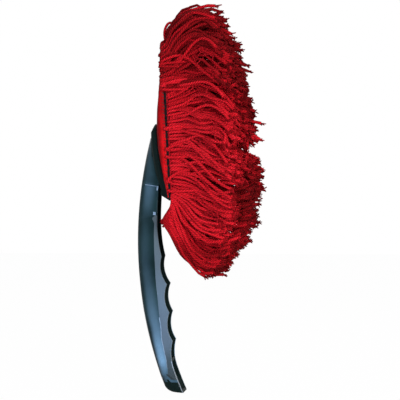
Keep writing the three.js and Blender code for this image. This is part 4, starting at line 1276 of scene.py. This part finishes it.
# Thin plies that have worked loose and curled up, mostly toward the cut ends.
for n in range(330):
    yarn, strand = outer_strands[rng.randrange(len(outer_strands))]
    at = rng.randrange(6, len(strand) - 1)
    here = strand[at].copy()
    if here.x < 26 or here.z > 112:
        continue
    outward = math.copysign(1.0, here.y)
    heading = rng.uniform(0, 2 * math.pi)
    tightness = rng.choice([-1, 1]) * rng.uniform(0.1, 0.42)
    path = [here.copy()]
    for step in range(12):
        heading += tightness + rng.gauss(0, 0.35)
        here += Vector((math.cos(heading), 0, math.sin(heading))) * 1.15
        here.y += outward * (0.75 if step < 3 else rng.gauss(-0.05, 0.25))
        path.append(clear_of_slide(here.copy(), 0.5))
    yarn.tube(path, PLY_RADIUS, rng.gauss(0.3, 0.2), PLY_SIDES)

# Dyed cotton yarn, loosely twisted from three soft plies: matt and fuzzy, with painted shade between the
# plies, and a tone from strand to strand that is partly random and partly painted shade. One turn of the
# plies takes 7 mm.
twisted_yarn, tree, shader, place = new_material("three_ply_red_cotton_yarn")
axes = add(tree, "SeparateXYZ", {"Vector": add(tree, "UVMap", uv_map="plies")}).outputs
round_turn = add(tree, "Math", {0: axes["X"], 1: 3.0}, operation="MULTIPLY")
lay_turn = add(tree, "Math", {0: axes["Y"], 1: 3.0}, operation="MULTIPLY")
both = add(tree, "Math", {0: round_turn, 1: lay_turn}, operation="ADD")
cycle = add(tree, "Math", {0: both, 1: 2 * math.pi}, operation="MULTIPLY")
ply_wave = add(tree, "Math", {0: cycle}, operation="SINE")
ply_level = add(tree, "MapRange", {"Value": ply_wave, "From Min": -1.0})
tone = add(tree, "Attribute", attribute_name="tone").outputs["Fac"]
tone_level = add(tree, "MapRange", {"Value": tone, "From Min": -0.9, "From Max": 0.6})
fuzz = add(tree, "TexNoise", {"Vector": place, "Scale": 1 / (0.7 * MM), "Detail": 3.0})
# The ramp's dark end carries the painted shade that the strands' tone holds.
dyed = add(tree, "ValToRGB", {"Fac": tone_level},
           [(0.0, 0x7A060C), (0.35, 0xB60E1A), (0.6, 0xD21724), (1.0, 0xDC1E2C)])
# Painted shade in the valleys between the plies.
ply_shade = add(tree, "ValToRGB", {"Fac": ply_level}, [(0.0, 0.46), (0.5, 0.94), (1.0, 1.0)])
height = add(tree, "Math", {0: fuzz, 1: 0.5, 2: ply_level}, operation="MULTIPLY_ADD")
fill(shader, {
    "Base Color": add(tree, "Mix", {"Factor": 1.0, "A": dyed, "B": ply_shade},
                      data_type="RGBA", blend_type="MULTIPLY"),
    "Roughness": 0.92, "Sheen Weight": 0.06, "Sheen Roughness": 0.4,
    "Sheen Tint": linear(0xE04048), "Specular IOR Level": 0.08,
    "Normal": add(tree, "Bump", {"Height": height, "Distance": 0.5 * MM})})
for yarn, name in zip(yarns, GROUPS):
    piece = yarn.to_object("yarn" + name[len("strands"):])
    piece.data.materials.append(twisted_yarn)
    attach(piece, "mop_cover")
    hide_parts(name)

# ---------------------------------------------------------------- floor, light and camera
# A plain white floor and room. The duster stands on its end, seen from its side and slightly
# from the front, through a long lens.

CENTRE = Vector((35.1, 0.0, 78.0)) * MM
FLOOR_Z = -71.5
VIEW_TURN = math.radians(6.5)
LENS, SENSOR = 135.0, 36.0
FRAME_WIDTH = 312.0
CARD_GLOW = 0.98  # what the card shines by itself, which leaves a faint shadow


def seen_share(tree):
    """A node that gives 1 to a ray from the camera, a gloss or a clear surface, and 0 to others."""
    ray = add(tree, "LightPath").outputs
    seen = add(tree, "Math", {0: ray["Is Camera Ray"], 1: ray["Is Glossy Ray"]}, operation="MAXIMUM")
    return add(tree, "Math", {0: seen, 1: ray["Is Transmission Ray"]}, operation="MAXIMUM")


bpy.ops.mesh.primitive_plane_add(size=6, location=(0, 0, FLOOR_Z * MM))
floor = bpy.context.object
floor.name = "floor"
white_card, tree, shader, _ = new_material("matt_white_card")
fill(shader, {"Base Color": linear(0xFFFFFF), "Roughness": 1.0})
glow = add(tree, "Emission", {"Color": linear(0xFFFFFF), "Strength": 1.0})
share = add(tree, "Math", {0: seen_share(tree), 1: CARD_GLOW}, operation="MULTIPLY")
fill(tree.nodes["Material Output"], {"Surface": add(tree, "MixShader", {0: share, 1: shader, 2: glow})})
floor.data.materials.append(white_card)

world = bpy.data.worlds.new("white_room")
bpy.context.scene.world = world
world.use_nodes = True
tree = world.node_tree
room_light = add(tree, "Background", {"Color": linear(0xF4F6FA), "Strength": 0.35})
room_seen = add(tree, "Background", {"Color": linear(0xFFFFFF), "Strength": 1.0})
room = add(tree, "MixShader", {0: seen_share(tree), 1: room_light, 2: room_seen})
fill(tree.nodes["World Output"], {"Surface": room})


def softbox(name, place, size, watts, colour=0xFFFFFF):
    """A square area light, turned to the middle of the duster."""
    data = bpy.data.lights.new(name, "AREA")
    data.energy = watts
    data.size = size
    data.color = linear(colour)[:3]
    lamp = bpy.data.objects.new(name, data)
    bpy.context.collection.objects.link(lamp)
    lamp.location = place
    lamp.rotation_euler = (CENTRE - lamp.location).to_track_quat("-Z", "Y").to_euler()


softbox("key", Vector((0.85, -1.25, 0.3)), 0.7, 21)
softbox("front", Vector((-0.2, -1.45, 0.06)), 0.26, 7, 0xDCE8FF)
softbox("top", Vector((0.1, 0.3, 1.4)), 0.8, 5)

camera_data = bpy.data.cameras.new("camera")
camera_data.lens = LENS
camera_data.sensor_width = SENSOR
camera = bpy.data.objects.new("camera", camera_data)
bpy.context.collection.objects.link(camera)
distance = FRAME_WIDTH * MM * LENS / SENSOR
camera.location = CENTRE + Vector((math.sin(VIEW_TURN), -math.cos(VIEW_TURN), 0)) * distance
camera.rotation_euler = (CENTRE - camera.location).to_track_quat("-Z", "Y").to_euler()
bpy.context.scene.camera = camera
bpy.context.scene.view_settings.view_transform = "Standard"
